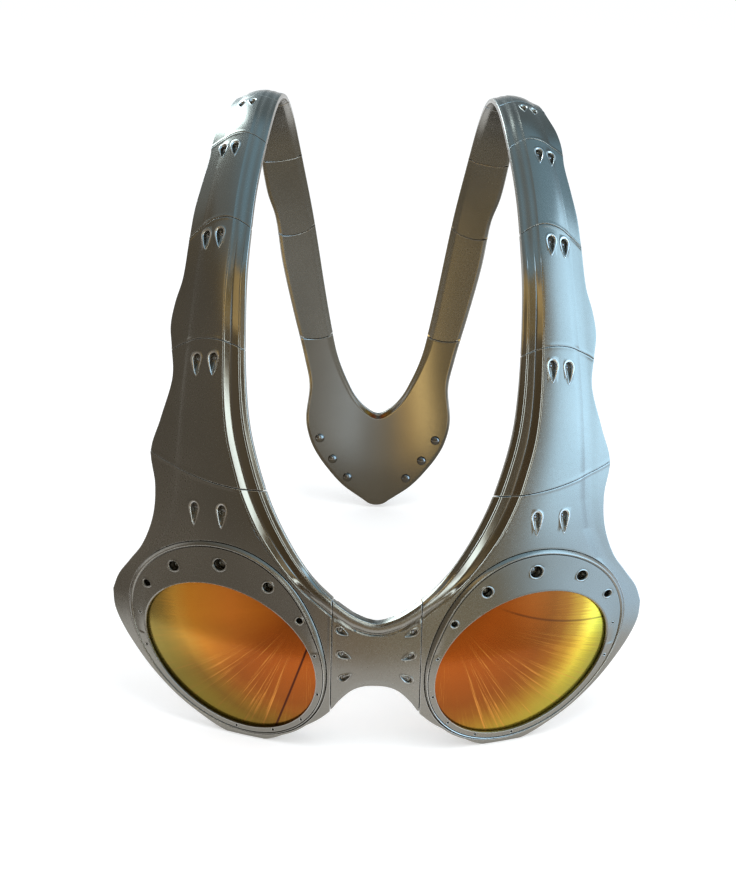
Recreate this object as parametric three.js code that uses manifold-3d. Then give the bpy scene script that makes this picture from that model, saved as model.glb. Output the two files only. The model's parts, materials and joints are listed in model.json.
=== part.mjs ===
// Over-the-head sports sunglasses: two lenses in orbital plates, a bridge between them, and two
// segmented arms that run over the crown to a plate behind the head. Millimetres, +Z up, lenses
// facing -Y, origin on the floor. Every piece is drawn on a flat template and wrapped onto one arched
// surface: "along" runs from the floor at the front over the crown to the floor at the back, "across"
// is the distance from the middle, and "lift" is the height over that surface, away from the head.
import * as THREE from "three";
import Module from "manifold-3d";

// The arched surface.
const HALF_DEPTH = 96;
const CROWN_HEIGHT = 169;
const WIDEST_LEVEL = 30;
const FRONT_WRAP = 90;
const CROWN_WRAP = 170;
const REAR_WRAP = 70;
const TIP_TRIM = 1.2;

// Shell and clearances.
const SHELL_INSIDE = 1.8;
const FACE_LIFT = 1.8;
const FACE_SWELL = 0.4;
const RAIL_WIDTH = 5.5;
const FLANGE_SHARE = 0.22;
const FLANGE_LIFT = 1.0;
const SEAM_GAP = 0.4;
const PLAY = 0.3;

// Lens and bezel.
const LENS_ALONG = 24.5;
const NOSE_RIM = 1.35;
const LENS_LONG = 25;
const LENS_SHORT = 20.5;
const LENS_TILT = 28.5;
const LENS_THICKNESS = 1.5;
const LENS_TUCK = 1.0;
const LEDGE_TOP = -0.9;
const RING_NARROW = 2.4;
const RING_WIDE = 13;
const RING_LIFT = 2.9;
const BEZEL_HOLE_SHARE = 0.26;

// Bridge, links and pins.
const BRIDGE_HALF = 12;
const LEAF_THICKNESS = 0.8;
const LEAF_REACH = 4;
const PEG_RADIUS = 0.65;
const DROP_RADIUS = 1.15;
const DROP_LENGTH = 5.6;
const STRAP_EDGE = 2;
const STRAP_HALF = 15.5;
const STRAP_THICKNESS = 1.1;
const PAD_THICKNESS = 3.6;
const PAD_GAP = 1;
const PAD_SWEEP = 51;
const PIN_RADIUS = 1.3;

// Template outlines as [along, across] for the right-hand half.
const OUTER_EDGE = [
  [35.5, 74.7], [41.5, 73], [47.5, 69.6], [54, 65.7], [64, 62.5], [74, 61.9], [85, 63.3], [95, 60.6],
  [108, 57.4], [117, 57.8], [124, 58.3], [131, 57.2], [138, 55.3], [150, 54], [160, 53], [170, 51.3],
  [179, 49.9], [188, 49.5], [196, 48.5], [206, 46.5], [222, 44.6], [240, 43.6], [270, 41.8],
  [300, 39.6], [313, 37.1], [334, 35], [356, 31.4], [376, 27.4], [388, 25.5], [402, 26.6],
  [411, 24.7], [417, 21.8], [422, 18.4], [426, 15.2], [429.5, 12], [432.6, 8.7], [435.4, 5],
  [438.2, 0],
];
const INNER_EDGE = [
  [39.6, 0], [41, 5], [43.3, 8.7], [46.6, 13], [51, 17.8], [57, 22.4], [64, 26.6], [72, 30.4], [81, 33.4],
  [93, 36.2], [106, 37.6], [122, 38.1], [140, 37.4], [162, 35.8], [190, 33.8], [212, 32.5],
  [258, 29.9], [287, 27.6], [316, 24.2], [348, 20.3], [368, 17.2], [378, 15], [387, 11.7],
  [393.5, 8.5], [398.3, 4.4], [400.4, 0],
];
const LOWER_EDGE = [
  [20.6, 0], [20.3, 3.2], [19, 6.2], [15.6, 9.6], [12.5, 11.8], [9, 15.3], [4.4, 21.8], [0.2, 28], [-2, 35],
  [-1, 41.8], [1.9, 48.6], [5.4, 54.9], [10.7, 61.5], [16.7, 67], [23.6, 71.8], [29.4, 74.2],
  [35.5, 74.7],
];

// Each seam's place along the template at the inner edge, the middle and the outer edge of the arm,
// how far before it the pegs of its link stand, and their share of the way across.
const SEAMS = [
  { at: [74.8, 77.1, 84.6], pegs: 8.8, share: 0.525 },
  { at: [115, 118.9, 116.3], pegs: 6, share: 0.51 },
  { at: [152, 155.7, 150.3], pegs: 4.7, share: 0.58 },
  { at: [184, 188, 183.5], pegs: 5.3, share: 0.635 },
  { at: [211.5, 214.3, 210.5], pegs: 5, share: 0.61 },
  { at: [243, 245, 242], pegs: 6, share: 0.56 },
  { at: [284, 284.5, 282.5], pegs: 6, share: 0.56 },
  { at: [319, 321.5, 320], pegs: 6, share: 0.56 },
  { at: [367, 368, 366.5], pegs: 6, share: 0.56 },
];
const PEG_SPREAD = 0.115;
// Each peg of the bridge, and how far its drop's tail leans down towards the middle, in degrees.
const BRIDGE_PEGS = [[37.1, 9.7, 30], [30, 9.1, 20], [23.1, 8.6, -32]];
const REAR_PINS = [[409.4, 21.7], [418, 16.8], [425.4, 11.1]];
const BEZEL_HOLES = [36, 58, 85, 115, 143];
const SCREW_HOLES = [58, 85, 115];

const wasm = await Module();
wasm.setup();

// The template spans the arch from floor to floor, but for the trimmed tip of the rear plate.
const TEMPLATE_LENGTH = OUTER_EDGE[OUTER_EDGE.length - 1][0] - TIP_TRIM;
const RISE = CROWN_HEIGHT - WIDEST_LEVEL;
const FLOOR_ANGLE = -Math.asin(WIDEST_LEVEL / RISE);
const ARC_STEPS = 900;
const ARC_START = FLOOR_ANGLE - 0.15;
const ARC_SPAN = Math.PI - 2 * ARC_START;

const mix = (a, b, t) => a + (b - a) * t;
const radians = (degrees) => (degrees * Math.PI) / 180;
const ease = (t) => {
  const c = Math.min(1, Math.max(0, t));
  return c * c * (3 - 2 * c);
};

// Side profile: an ellipse that the template follows by arc length, from floor to floor.
const profile = (angle) => [-HALF_DEPTH * Math.cos(angle), WIDEST_LEVEL + RISE * Math.sin(angle)];
const arcLengths = [0];
for (let i = 1; i <= ARC_STEPS; i++) {
  const [y0, z0] = profile(ARC_START + (ARC_SPAN * (i - 1)) / ARC_STEPS);
  const [y1, z1] = profile(ARC_START + (ARC_SPAN * i) / ARC_STEPS);
  arcLengths.push(arcLengths[i - 1] + Math.hypot(y1 - y0, z1 - z0));
}
const lengthAt = (angle) => {
  const place = ((angle - ARC_START) / ARC_SPAN) * ARC_STEPS;
  const i = Math.min(ARC_STEPS - 1, Math.floor(place));
  return mix(arcLengths[i], arcLengths[i + 1], place - i);
};
const FLOOR_LENGTH = lengthAt(FLOOR_ANGLE);
const FULL_LENGTH = lengthAt(Math.PI - FLOOR_ANGLE) - FLOOR_LENGTH;
const angleAt = (along) => {
  const target = FLOOR_LENGTH + (along / TEMPLATE_LENGTH) * FULL_LENGTH;
  let low = 0;
  let high = ARC_STEPS;
  while (high - low > 1) {
    const middle = (low + high) >> 1;
    if (arcLengths[middle] <= target) low = middle;
    else high = middle;
  }
  const part = (target - arcLengths[low]) / (arcLengths[high] - arcLengths[low]);
  return ARC_START + (ARC_SPAN * (low + part)) / ARC_STEPS;
};

// The middle surface: the profile, dropped towards the head by the wrap across.
const surface = (along, across) => {
  const angle = angleAt(along);
  const degrees = (angle * 180) / Math.PI;
  const front = ease((75 - degrees) / 60);
  const rear = ease((degrees - 105) / 60);
  const bend = mix(1 / CROWN_WRAP, 1 / FRONT_WRAP, front) + rear * (1 / REAR_WRAP - 1 / CROWN_WRAP);
  const [y, z] = profile(angle);
  const outward = new THREE.Vector2(-Math.cos(angle) * RISE, Math.sin(angle) * HALF_DEPTH).normalize();
  const drop = (across * across * bend) / 2;
  return new THREE.Vector3(across, y - outward.x * drop, z - outward.y * drop);
};
const STEP = 0.05;
const place = (along, across, lift) => {
  const here = surface(along, across);
  const forward = surface(along + STEP, across).sub(surface(along - STEP, across));
  const sideways = surface(along, across + STEP).sub(surface(along, across - STEP));
  return here.addScaledVector(sideways.cross(forward).normalize(), lift);
};

// A smooth line through template points; a line that ends on the middle is carried over it.
function smoothLine(points, mirrorStart, mirrorEnd) {
  const flip = (p) => [p[0], -p[1]];
  const all = [...points];
  if (mirrorStart) all.unshift(flip(points[1]));
  if (mirrorEnd) all.push(flip(points[points.length - 2]));
  const curve = new THREE.CatmullRomCurve3(all.map((p) => new THREE.Vector3(p[0], p[1], 0)));
  const spans = all.length - 1;
  const first = mirrorStart ? 1 : 0;
  const last = mirrorEnd ? spans - 1 : spans;
  const line = [];
  for (let i = 0; i <= (last - first) * 8; i++) {
    const p = curve.getPoint((first + i / 8) / spans);
    line.push([p.x, p.y]);
  }
  return line;
}
const outerLine = smoothLine(OUTER_EDGE, false, true);
const innerLine = smoothLine(INNER_EDGE, true, true);
const lowerLine = smoothLine(LOWER_EDGE, true, false);

// Where a line crosses a given value of one coordinate, as the other coordinate.
function crossing(line, axis, value) {
  const other = 1 - axis;
  for (let i = 1; i < line.length; i++) {
    const [a, b] = [line[i - 1], line[i]];
    if ((a[axis] - value) * (b[axis] - value) <= 0 && a[axis] !== b[axis])
      return mix(a[other], b[other], (value - a[axis]) / (b[axis] - a[axis]));
  }
  return line[line.length - 1][other];
}
const innerAt = (along) => crossing(innerLine, 0, along);
const outerAt = (along) => crossing(outerLine, 0, along);
const distanceTo = (line, along, across) => {
  let best = Infinity;
  for (let i = 1; i < line.length; i++) {
    const [a, b] = [line[i - 1], line[i]];
    const [u, v] = [b[0] - a[0], b[1] - a[1]];
    const part = ((along - a[0]) * u + (across - a[1]) * v) / (u * u + v * v);
    const t = Math.min(1, Math.max(0, part));
    best = Math.min(best, Math.hypot(along - a[0] - t * u, across - a[1] - t * v));
  }
  return best;
};

// Seam number k at a share t of the way from the inner to the outer edge.
const seamAlong = (k, t) => {
  const [inner, middle, outer] = SEAMS[k].at;
  const bow = 2 * (inner + outer - 2 * middle);
  return inner + t * (outer - inner) + bow * t * (t - 1);
};
const armPoint = (along, t) => [along, mix(innerAt(along), outerAt(along), t)];

// Lift of the outer face over the rail that follows the inner edge, by distance in rail widths.
const RAIL_STATIONS = [0, 0.22, 0.3, 0.62, 0.68, 1.0];
const RAIL_LIFTS = [-0.3, 0.4, 0.45, 0.8, 0.85, FACE_LIFT];
const railLift = (share) => {
  for (let i = 1; i < RAIL_STATIONS.length; i++) {
    if (share > RAIL_STATIONS[i]) continue;
    const part = (share - RAIL_STATIONS[i - 1]) / (RAIL_STATIONS[i] - RAIL_STATIONS[i - 1]);
    return mix(RAIL_LIFTS[i - 1], RAIL_LIFTS[i], part);
  }
  return FACE_LIFT;
};
const railWidth = (width) => RAIL_WIDTH * Math.min(1, width / 27);
const flangeLift = (gap, flange) => mix(FLANGE_LIFT, FACE_LIFT, ease((gap / flange - 0.4) / 0.6));

// A closed solid from points and triangles, turned to face outwards.
function solidOf(points, triangles) {
  const vertProperties = new Float32Array(points.flatMap((p) => [p.x, p.y, p.z]));
  const make = (list) =>
    new wasm.Manifold(new wasm.Mesh({ numProp: 3, vertProperties, triVerts: new Uint32Array(list) }));
  const solid = make(triangles);
  if (solid.volume() > 0) return solid;
  const turned = [];
  for (let i = 0; i < triangles.length; i += 3)
    turned.push(triangles[i], triangles[i + 2], triangles[i + 1]);
  return make(turned);
}

// A plate over a grid of template points, each given as [along, across, top lift, bottom lift].
function slab(rows, columns, at, side) {
  const points = [];
  const triangles = [];
  for (let i = 0; i < rows; i++)
    for (let j = 0; j < columns; j++) {
      const [along, across, top, bottom] = at(i, j);
      points.push(place(along, side * across, top), place(along, side * across, bottom));
    }
  const top = (i, j) => 2 * (i * columns + j);
  const quad = (a, b, c, d) => triangles.push(a, b, c, a, c, d);
  for (let i = 1; i < rows; i++)
    for (let j = 1; j < columns; j++) {
      const [a, b, c, d] = [top(i - 1, j - 1), top(i, j - 1), top(i, j), top(i - 1, j)];
      quad(a, b, c, d);
      quad(a + 1, d + 1, c + 1, b + 1);
    }
  const wall = (a, b) => quad(a, a + 1, b + 1, b);
  for (let i = 1; i < rows; i++) {
    wall(top(i - 1, 0), top(i, 0));
    wall(top(i, columns - 1), top(i - 1, columns - 1));
  }
  for (let j = 1; j < columns; j++) {
    wall(top(0, j), top(0, j - 1));
    wall(top(rows - 1, j - 1), top(rows - 1, j));
  }
  return solidOf(points, triangles);
}

// A closed ring: the same loop of stations, each [along, across, lift], at every turn.
function hoop(turns, stations, side) {
  const points = [];
  const triangles = [];
  let count = 0;
  for (let i = 0; i < turns; i++) {
    const loop = stations(i);
    count = loop.length;
    for (const [along, across, lift] of loop) points.push(place(along, side * across, lift));
  }
  for (let i = 0; i < turns; i++)
    for (let k = 0; k < count; k++) {
      const next = ((i + 1) % turns) * count;
      const beside = (k + 1) % count;
      const [a, b, c, d] = [i * count + k, next + k, next + beside, i * count + beside];
      triangles.push(a, b, c, a, c, d);
    }
  return solidOf(points, triangles);
}

// A plug of any round outline, standing on the surface between two lifts.
function plug(outline, along, across, side, low, high) {
  const points = [place(along, side * across, low), place(along, side * across, high)];
  const triangles = [];
  const count = outline.length;
  for (const [u, v] of outline) {
    const spot = [along + u, side * (across + v)];
    points.push(place(...spot, low), place(...spot, high));
  }
  for (let i = 0; i < count; i++) {
    const a = 2 + 2 * i;
    const b = 2 + 2 * ((i + 1) % count);
    triangles.push(0, b, a, 1, a + 1, b + 1, a, b, b + 1, a, b + 1, a + 1);
  }
  return solidOf(points, triangles);
}
const circle = (radius, count) =>
  Array.from({ length: count }, (_, i) => {
    const turn = (2 * Math.PI * i) / count;
    return [radius * Math.cos(turn), radius * Math.sin(turn)];
  });

// A drop: a round head, and a tail that runs to a point in the direction of the given turn.
const DROP_SIDES = 6;
const drop = (radius, length, tail) => {
  const head = Array.from({ length: DROP_SIDES }, (_, i) => {
    const turn = radians(tail + 80 + (200 * i) / (DROP_SIDES - 1));
    return [radius * Math.cos(turn), radius * Math.sin(turn)];
  });
  const reach = length - radius;
  return [...head, [reach * Math.cos(radians(tail)), reach * Math.sin(radians(tail))]];
};
const cut = (solid, tools) => tools.reduce((rest, tool) => rest.subtract(tool), solid);
const joined = (solids) => solids.reduce((all, next) => all.add(next));

// Floor block: what it takes off leaves flat feet on the level z = 0.
const floorBlock = () => {
  const box = new THREE.BoxGeometry(400, 400, 40).translate(0, 0, -20);
  const position = box.getAttribute("position");
  const points = [];
  const seen = new Map();
  const triangles = [];
  for (const i of box.index.array) {
    const p = new THREE.Vector3().fromBufferAttribute(position, i);
    const key = p.toArray().join();
    if (!seen.has(key)) {
      seen.set(key, points.length);
      points.push(p);
    }
    triangles.push(seen.get(key));
  }
  return solidOf(points, triangles);
};

// Links: a leaf with two pegs, fixed before its seam and free in a slot behind it.
function linkSpot(k) {
  const { share } = SEAMS[k];
  const seam = seamAlong(k, share);
  const along = seam - SEAMS[k].pegs;
  const width = outerAt(along) - innerAt(along);
  const middle = armPoint(along, share)[1];
  const drift = armPoint(seam, share)[1] - middle;
  const size = Math.min(1, 0.55 + width / 60);
  return { seam, along, middle, drift, half: PEG_SPREAD * width, size };
}
function leaf(k, side, grow, from, to) {
  const spot = linkSpot(k);
  const reach = spot.half + 1.5 + grow;
  const at = (i, j) => {
    const along = mix(from, to, i / 2);
    const across = spot.middle + (spot.drift * (along - spot.along)) / SEAMS[k].pegs;
    const thick = LEAF_THICKNESS / 2 + grow;
    return [along, across + mix(-reach, reach, j), thick - 0.35, -thick - 0.35];
  };
  return slab(3, 2, at, side);
}
const pegPlaces = (k) => {
  const spot = linkSpot(k);
  return [spot.middle - spot.half, spot.middle + spot.half];
};
function link(k, side) {
  const spot = linkSpot(k);
  const body = leaf(k, side, 0, spot.along - 1.6, spot.seam + LEAF_REACH);
  const pegs = pegPlaces(k).map((across) =>
    plug(circle(PEG_RADIUS, 6), spot.along, across, side, -0.35, 1.2),
  );
  return joined([body, ...pegs]);
}
// What a link takes out of the piece before its seam, and out of the piece behind it.
const linkSeat = (k, side) => {
  const spot = linkSpot(k);
  const outline = drop(DROP_RADIUS * spot.size, DROP_LENGTH * spot.size, 180);
  const slot = leaf(k, side, PLAY, spot.along - 1.6 - PLAY, spot.seam + LEAF_REACH);
  const drops = pegPlaces(k).map((across) => plug(outline, spot.along, across, side, -0.35, 4));
  return [slot, ...drops];
};
const linkSlot = (k, side) => {
  const spot = linkSpot(k);
  return leaf(k, side, PLAY + 0.05, spot.seam - LEAF_REACH, spot.seam + LEAF_REACH + PLAY);
};

// Arm segment k lies between seams k - 1 and k.
const ARM_ROWS = 4;
function armSegment(k, side) {
  const middleAlong = (t, i) => mix(seamAlong(k - 1, t), seamAlong(k, t), i / (ARM_ROWS - 1));
  const at = (i, j) => {
    const nominal = middleAlong(0.5, i);
    const width = outerAt(nominal) - innerAt(nominal);
    const rail = railWidth(width) / width;
    const shares = RAIL_STATIONS.map((s) => s * rail);
    const crease = 1 - FLANGE_SHARE;
    shares.push((shares[5] + crease) / 2, crease, 1 - 0.4 * FLANGE_SHARE, 1);
    const lifts = [...RAIL_LIFTS, FACE_LIFT + FACE_SWELL, FACE_LIFT, FLANGE_LIFT, FLANGE_LIFT];
    const t = shares[j];
    const start = seamAlong(k - 1, t) + SEAM_GAP / 2;
    const end = seamAlong(k, t) - SEAM_GAP / 2;
    const edge = j === 0 || j === 9;
    return [...armPoint(mix(start, end, i / (ARM_ROWS - 1)), t), lifts[j], edge ? -1.3 : -SHELL_INSIDE];
  };
  return cut(slab(ARM_ROWS, 10, at, side), [linkSlot(k - 1, side), ...linkSeat(k, side)]);
}

// Lens outline, as a radius round the lens middle, and the widening ring of the bezel round it. The
// lens stands as far out as the ring and a narrow rim need beside the bridge.
const LENS_REACH = Math.hypot(
  LENS_LONG * Math.cos(radians(LENS_TILT)),
  LENS_SHORT * Math.sin(radians(LENS_TILT)),
);
const LENS_ACROSS = BRIDGE_HALF + NOSE_RIM + PLAY + RING_NARROW + LENS_REACH;
const lensRadius = (turn) => {
  const away = turn - radians(LENS_TILT);
  return 1 / Math.hypot(Math.cos(away) / LENS_LONG, Math.sin(away) / LENS_SHORT);
};
const ringWidth = (turn) => {
  const share = (1 + Math.cos(turn - radians(83))) / 2;
  return RING_NARROW + (RING_WIDE - RING_NARROW) * share ** 3.2;
};
const polar = (turn, radius) => [
  LENS_ALONG + radius * Math.sin(turn),
  LENS_ACROSS + radius * Math.cos(turn),
];
const BEZEL_BOTTOM = LEDGE_TOP + PLAY;
const LENS_TOP = BEZEL_BOTTOM + LENS_THICKNESS;

function lens(side) {
  const rings = [0.4, 0.75, 1];
  const turns = 32;
  const points = [place(LENS_ALONG, side * LENS_ACROSS, LENS_TOP)];
  points.push(place(LENS_ALONG, side * LENS_ACROSS, BEZEL_BOTTOM));
  const triangles = [];
  rings.forEach((share) => {
    for (let i = 0; i < turns; i++) {
      const turn = (2 * Math.PI * i) / turns;
      const [along, across] = polar(turn, share * (lensRadius(turn) + LENS_TUCK));
      points.push(place(along, side * across, LENS_TOP), place(along, side * across, BEZEL_BOTTOM));
    }
  });
  const top = (ring, i) => 2 + 2 * (ring * turns + (i % turns));
  for (let i = 0; i < turns; i++) {
    triangles.push(0, top(0, i), top(0, i + 1), 1, top(0, i + 1) + 1, top(0, i) + 1);
    for (let ring = 1; ring < rings.length; ring++) {
      const [a, b] = [top(ring - 1, i), top(ring, i)];
      const [c, d] = [top(ring, i + 1), top(ring - 1, i + 1)];
      triangles.push(a, b, c, a, c, d, a + 1, d + 1, c + 1, a + 1, c + 1, b + 1);
    }
    const [a, b] = [top(rings.length - 1, i), top(rings.length - 1, i + 1)];
    triangles.push(a, a + 1, b + 1, a, b + 1, b);
  }
  return solidOf(points, triangles);
}

const holeSpot = (degrees) => {
  const turn = radians(degrees);
  const width = ringWidth(turn);
  const [along, across] = polar(turn, lensRadius(turn) + 0.5 * width);
  return { along, across, radius: (BEZEL_HOLE_SHARE * width) / 2 };
};
function bezel(side) {
  const lip = LENS_TOP + PLAY;
  const tuck = LENS_TUCK + PLAY;
  const turns = 36;
  const ring = hoop(
    turns,
    (i) => {
      const turn = (2 * Math.PI * i) / turns;
      const edge = lensRadius(turn);
      const width = ringWidth(turn);
      const stations = [
        [0, lip],
        [0, RING_LIFT - 0.7],
        [0.6, RING_LIFT - 0.2],
        [width - 1.5, RING_LIFT - 0.3],
        [width - 0.9, RING_LIFT],
        [width, RING_LIFT - 0.5],
        [width, BEZEL_BOTTOM],
        [tuck, BEZEL_BOTTOM],
        [tuck, lip],
      ];
      return stations.map(([out, lift]) => [...polar(turn, edge + out), lift]);
    },
    side,
  );
  const holes = BEZEL_HOLES.map((degrees) => {
    const spot = holeSpot(degrees);
    return plug(circle(spot.radius, 10), spot.along, spot.across, side, -3, 5);
  });
  return cut(ring, holes);
}
function bezelScrew(degrees, side) {
  const spot = holeSpot(degrees);
  return plug(circle(spot.radius - PLAY, 10), spot.along, spot.across, side, BEZEL_BOTTOM, 1.4);
}

// Outline of the right orbital plate, once round, with its corners as points.
function orbitalOutline() {
  const gap = SEAM_GAP / 2;
  const seamSide = BRIDGE_HALF + gap;
  const lowEnd = [crossing(lowerLine, 1, seamSide), seamSide];
  const highEnd = [crossing(innerLine, 1, seamSide), seamSide];
  const topInner = seamAlong(0, 0) - gap;
  const topOuter = seamAlong(0, 1) - gap;
  const outline = [lowEnd];
  const every = (line, from, to, step) => {
    const inside = line.filter((p, i) => i % step === 0 && from(p) && to(p));
    outline.push(...inside);
  };
  every(lowerLine, (p) => p[1] > seamSide + 1.5, (p) => p[0] < 34.5, 4);
  every(outerLine, (p) => p[0] >= 35.5, (p) => p[0] < topOuter - 2, 4);
  for (let i = 0; i <= 6; i++) outline.push(armPoint(seamAlong(0, 1 - i / 6) - gap, 1 - i / 6));
  const inward = innerLine.filter((p, i) => i % 4 === 0 && p[0] < topInner - 2 && p[1] > seamSide + 1.5);
  outline.push(...inward.reverse(), highEnd);
  for (let i = 1; i < 6; i++) outline.push([mix(highEnd[0], lowEnd[0], i / 6), seamSide]);
  return outline;
}
function orbitalLift(along, across) {
  const fromInner = distanceTo(innerLine, along, across);
  const fromOuter = distanceTo(outerLine, along, across);
  const flange = 5.5;
  const rail = railLift(fromInner / RAIL_WIDTH);
  return Math.min(rail, flangeLift(fromOuter, flange));
}
function orbital(side) {
  const outline = orbitalOutline();
  const count = outline.length;
  const stations = (i) => {
    const [along, across] = outline[i];
    const before = outline[(i + count - 1) % count];
    const after = outline[(i + 1) % count];
    const ray = new THREE.Vector2(along - LENS_ALONG, across - LENS_ACROSS);
    const run = new THREE.Vector2(after[0] - before[0], after[1] - before[1]);
    const lean = Math.max(0.5, Math.abs(ray.cross(run)) / (ray.length() * run.length()));
    const turn = Math.atan2(ray.x, ray.y);
    const edge = lensRadius(turn);
    const wall = edge + ringWidth(turn) + PLAY;
    const rim = Math.max(ray.length(), wall + 0.7);
    const band = rim - wall;
    const rail = Math.min(RAIL_WIDTH / lean, band * 0.72);
    const inward = RAIL_STATIONS.slice(1).map((s) => rim - s * rail);
    const open = edge - 0.6;
    const top = [wall, (wall + inward[4]) / 2, ...inward.reverse(), rim];
    const loop = [[...polar(turn, open), LEDGE_TOP], [...polar(turn, wall), LEDGE_TOP]];
    for (const radius of top) {
      const spot = polar(turn, radius);
      loop.push([...spot, orbitalLift(...spot)]);
    }
    loop.push([...polar(turn, rim), -1.3], [...polar(turn, (wall + rim) / 2), -SHELL_INSIDE]);
    loop.push([...polar(turn, open), -SHELL_INSIDE - 0.2]);
    return loop;
  };
  return cut(hoop(count, stations, side), [...linkSeat(0, side), floorBlock()]);
}

function bridge() {
  const half = BRIDGE_HALF - SEAM_GAP / 2;
  const columns = 7;
  const shares = [...RAIL_STATIONS.map((s) => s * RAIL_WIDTH)];
  const rows = shares.length + 3;
  const at = (i, j) => {
    const across = mix(-half, half, j / (columns - 1));
    const high = crossing(innerLine, 1, Math.abs(across));
    const low = crossing(lowerLine, 1, Math.abs(across));
    const depths = [...shares, mix(shares[5], high - low, 0.5), high - low - 1.5, high - low];
    const lifts = [...RAIL_LIFTS, FACE_LIFT + 0.2, FACE_LIFT - 0.3, FLANGE_LIFT];
    return [high - depths[i], across, lifts[i], i === 0 || i === rows - 1 ? -1.3 : -SHELL_INSIDE];
  };
  const drops = [-1, 1].flatMap((side) =>
    BRIDGE_PEGS.map(([along, across, lean]) => {
      const outline = drop(0.9 * DROP_RADIUS, 0.64 * DROP_LENGTH, 270 - lean);
      return plug(outline, along, across, side, -4, 5);
    }),
  );
  return cut(slab(rows, columns, at, 1), drops);
}
// The strap behind the bridge reaches past the outermost pegs that it carries.
const pegAlongs = BRIDGE_PEGS.map((peg) => peg[0]);
const STRAP_LOW = Math.min(...pegAlongs) - STRAP_EDGE;
const STRAP_HIGH = Math.max(...pegAlongs) + STRAP_EDGE;
function bridgeStrap() {
  const top = -SHELL_INSIDE - 0.2 - PLAY;
  const at = (i, j) => {
    const across = mix(-STRAP_HALF, STRAP_HALF, j / 8);
    const pinch = 2.5 * (1 - Math.abs(across) / STRAP_HALF);
    const along = i === 0 ? STRAP_LOW + pinch : STRAP_HIGH - pinch;
    return [along, across, top, top - STRAP_THICKNESS];
  };
  const pegs = [-1, 1].flatMap((side) =>
    BRIDGE_PEGS.map(([along, across]) => plug(circle(0.6, 6), along, across, side, top - 0.5, 1.1)),
  );
  return joined([slab(2, 9, at, 1), ...pegs]);
}

// Rear plate: a horseshoe of rows from the left arm round the tip to the right arm.
function rearPlate() {
  const last = SEAMS.length - 1;
  const rows = 25;
  const inner = innerLine.filter((p) => p[0] > 360);
  const outer = outerLine.filter((p) => p[0] > 360);
  const halfRow = (share, t) => {
    const gapAlong = seamAlong(last, t) + SEAM_GAP / 2;
    const from = t === 0 ? inner : outer;
    const start = from.findIndex((p) => p[0] > gapAlong + 0.5);
    const line = [armPoint(gapAlong, t), ...from.slice(start)];
    const lengths = [0];
    for (let i = 1; i < line.length; i++)
      lengths.push(lengths[i - 1] + Math.hypot(line[i][0] - line[i - 1][0], line[i][1] - line[i - 1][1]));
    const target = share * lengths[lengths.length - 1];
    const i = Math.max(1, lengths.findIndex((l) => l >= target - 1e-9));
    const part = (target - lengths[i - 1]) / (lengths[i] - lengths[i - 1]);
    return [mix(line[i - 1][0], line[i][0], part), mix(line[i - 1][1], line[i][1], part)];
  };
  const shares = [0, 0.1, 0.22, 0.34, 0.55, 0.78, 0.92, 1];
  const lifts = [0.9, 1.6, 1.0, FACE_LIFT, FACE_LIFT + FACE_SWELL, FACE_LIFT, FLANGE_LIFT, FLANGE_LIFT];
  const at = (i, j) => {
    const way = (2 * i) / (rows - 1) - 1;
    const share = 1 - Math.abs(way);
    const [a0, x0] = halfRow(share, 0);
    const [a1, x1] = halfRow(share, 1);
    const t = shares[j];
    const across = Math.sign(way) * mix(x0, x1, t);
    const bow = seamAlong(last, t) - mix(seamAlong(last, 0), seamAlong(last, 1), t);
    const along = mix(a0, a1, t) + bow * Math.max(0, 1 - 4 * share);
    const edge = j === 0 || j === shares.length - 1;
    return [along, across, lifts[j], edge ? -1.3 : -SHELL_INSIDE];
  };
  const holes = [-1, 1].flatMap((side) =>
    REAR_PINS.map(([along, across]) =>
      plug(circle(PIN_RADIUS + PLAY, 8), along, across, side, -4, 5),
    ),
  );
  const slots = [-1, 1].map((side) => linkSlot(last, side));
  return cut(slab(rows, shares.length, at, 1), [...holes, ...slots, floorBlock()]);
}
const rearPin = (n, side) =>
  plug(circle(PIN_RADIUS, 8), REAR_PINS[n][0], REAR_PINS[n][1], side, -SHELL_INSIDE - 0.9, 1.2);

// Nose pad: a soft strip behind the inner lower part of the orbital plate, from under the strap.
function nosePad(side) {
  const top = -SHELL_INSIDE - 0.2 - PLAY;
  const below = (LENS_ALONG - STRAP_LOW + PAD_GAP) / lensRadius(Math.PI);
  const start = Math.PI + Math.asin(below);
  const at = (i, j) => {
    const turn = start + radians((PAD_SWEEP * i) / 6);
    const edge = lensRadius(turn) - 0.4;
    const full = Math.sin((Math.PI * (i + 0.6)) / 7.2);
    const width = Math.min(RING_NARROW + 1.2, 1.6 + 2.4 * full);
    const bulge = Math.sin((Math.PI * (j + 0.5)) / 4);
    const deep = 0.8 + (PAD_THICKNESS - 0.8) * full * bulge;
    return [...polar(turn, edge + (width * j) / 3), top, top - deep];
  };
  return slab(7, 4, at, side);
}

const metal = new THREE.MeshStandardMaterial({ color: 0x9a9a98, metalness: 0.9, roughness: 0.35 });
const darkMetal = new THREE.MeshStandardMaterial({ color: 0x6f6f70, metalness: 0.9, roughness: 0.3 });
const mirror = new THREE.MeshStandardMaterial({ color: 0xd8641c, metalness: 0.8, roughness: 0.08 });
const rubber = new THREE.MeshStandardMaterial({ color: 0x1c1c1d, metalness: 0, roughness: 0.8 });

const group = new THREE.Group();
function add(name, solid, material) {
  const made = solid.getMesh();
  const geometry = new THREE.BufferGeometry();
  geometry.setAttribute("position", new THREE.BufferAttribute(made.vertProperties.slice(), 3));
  geometry.setIndex(new THREE.BufferAttribute(made.triVerts.slice(), 1));
  geometry.computeVertexNormals();
  const mesh = new THREE.Mesh(geometry, material);
  mesh.name = name;
  group.add(mesh);
}

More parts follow.
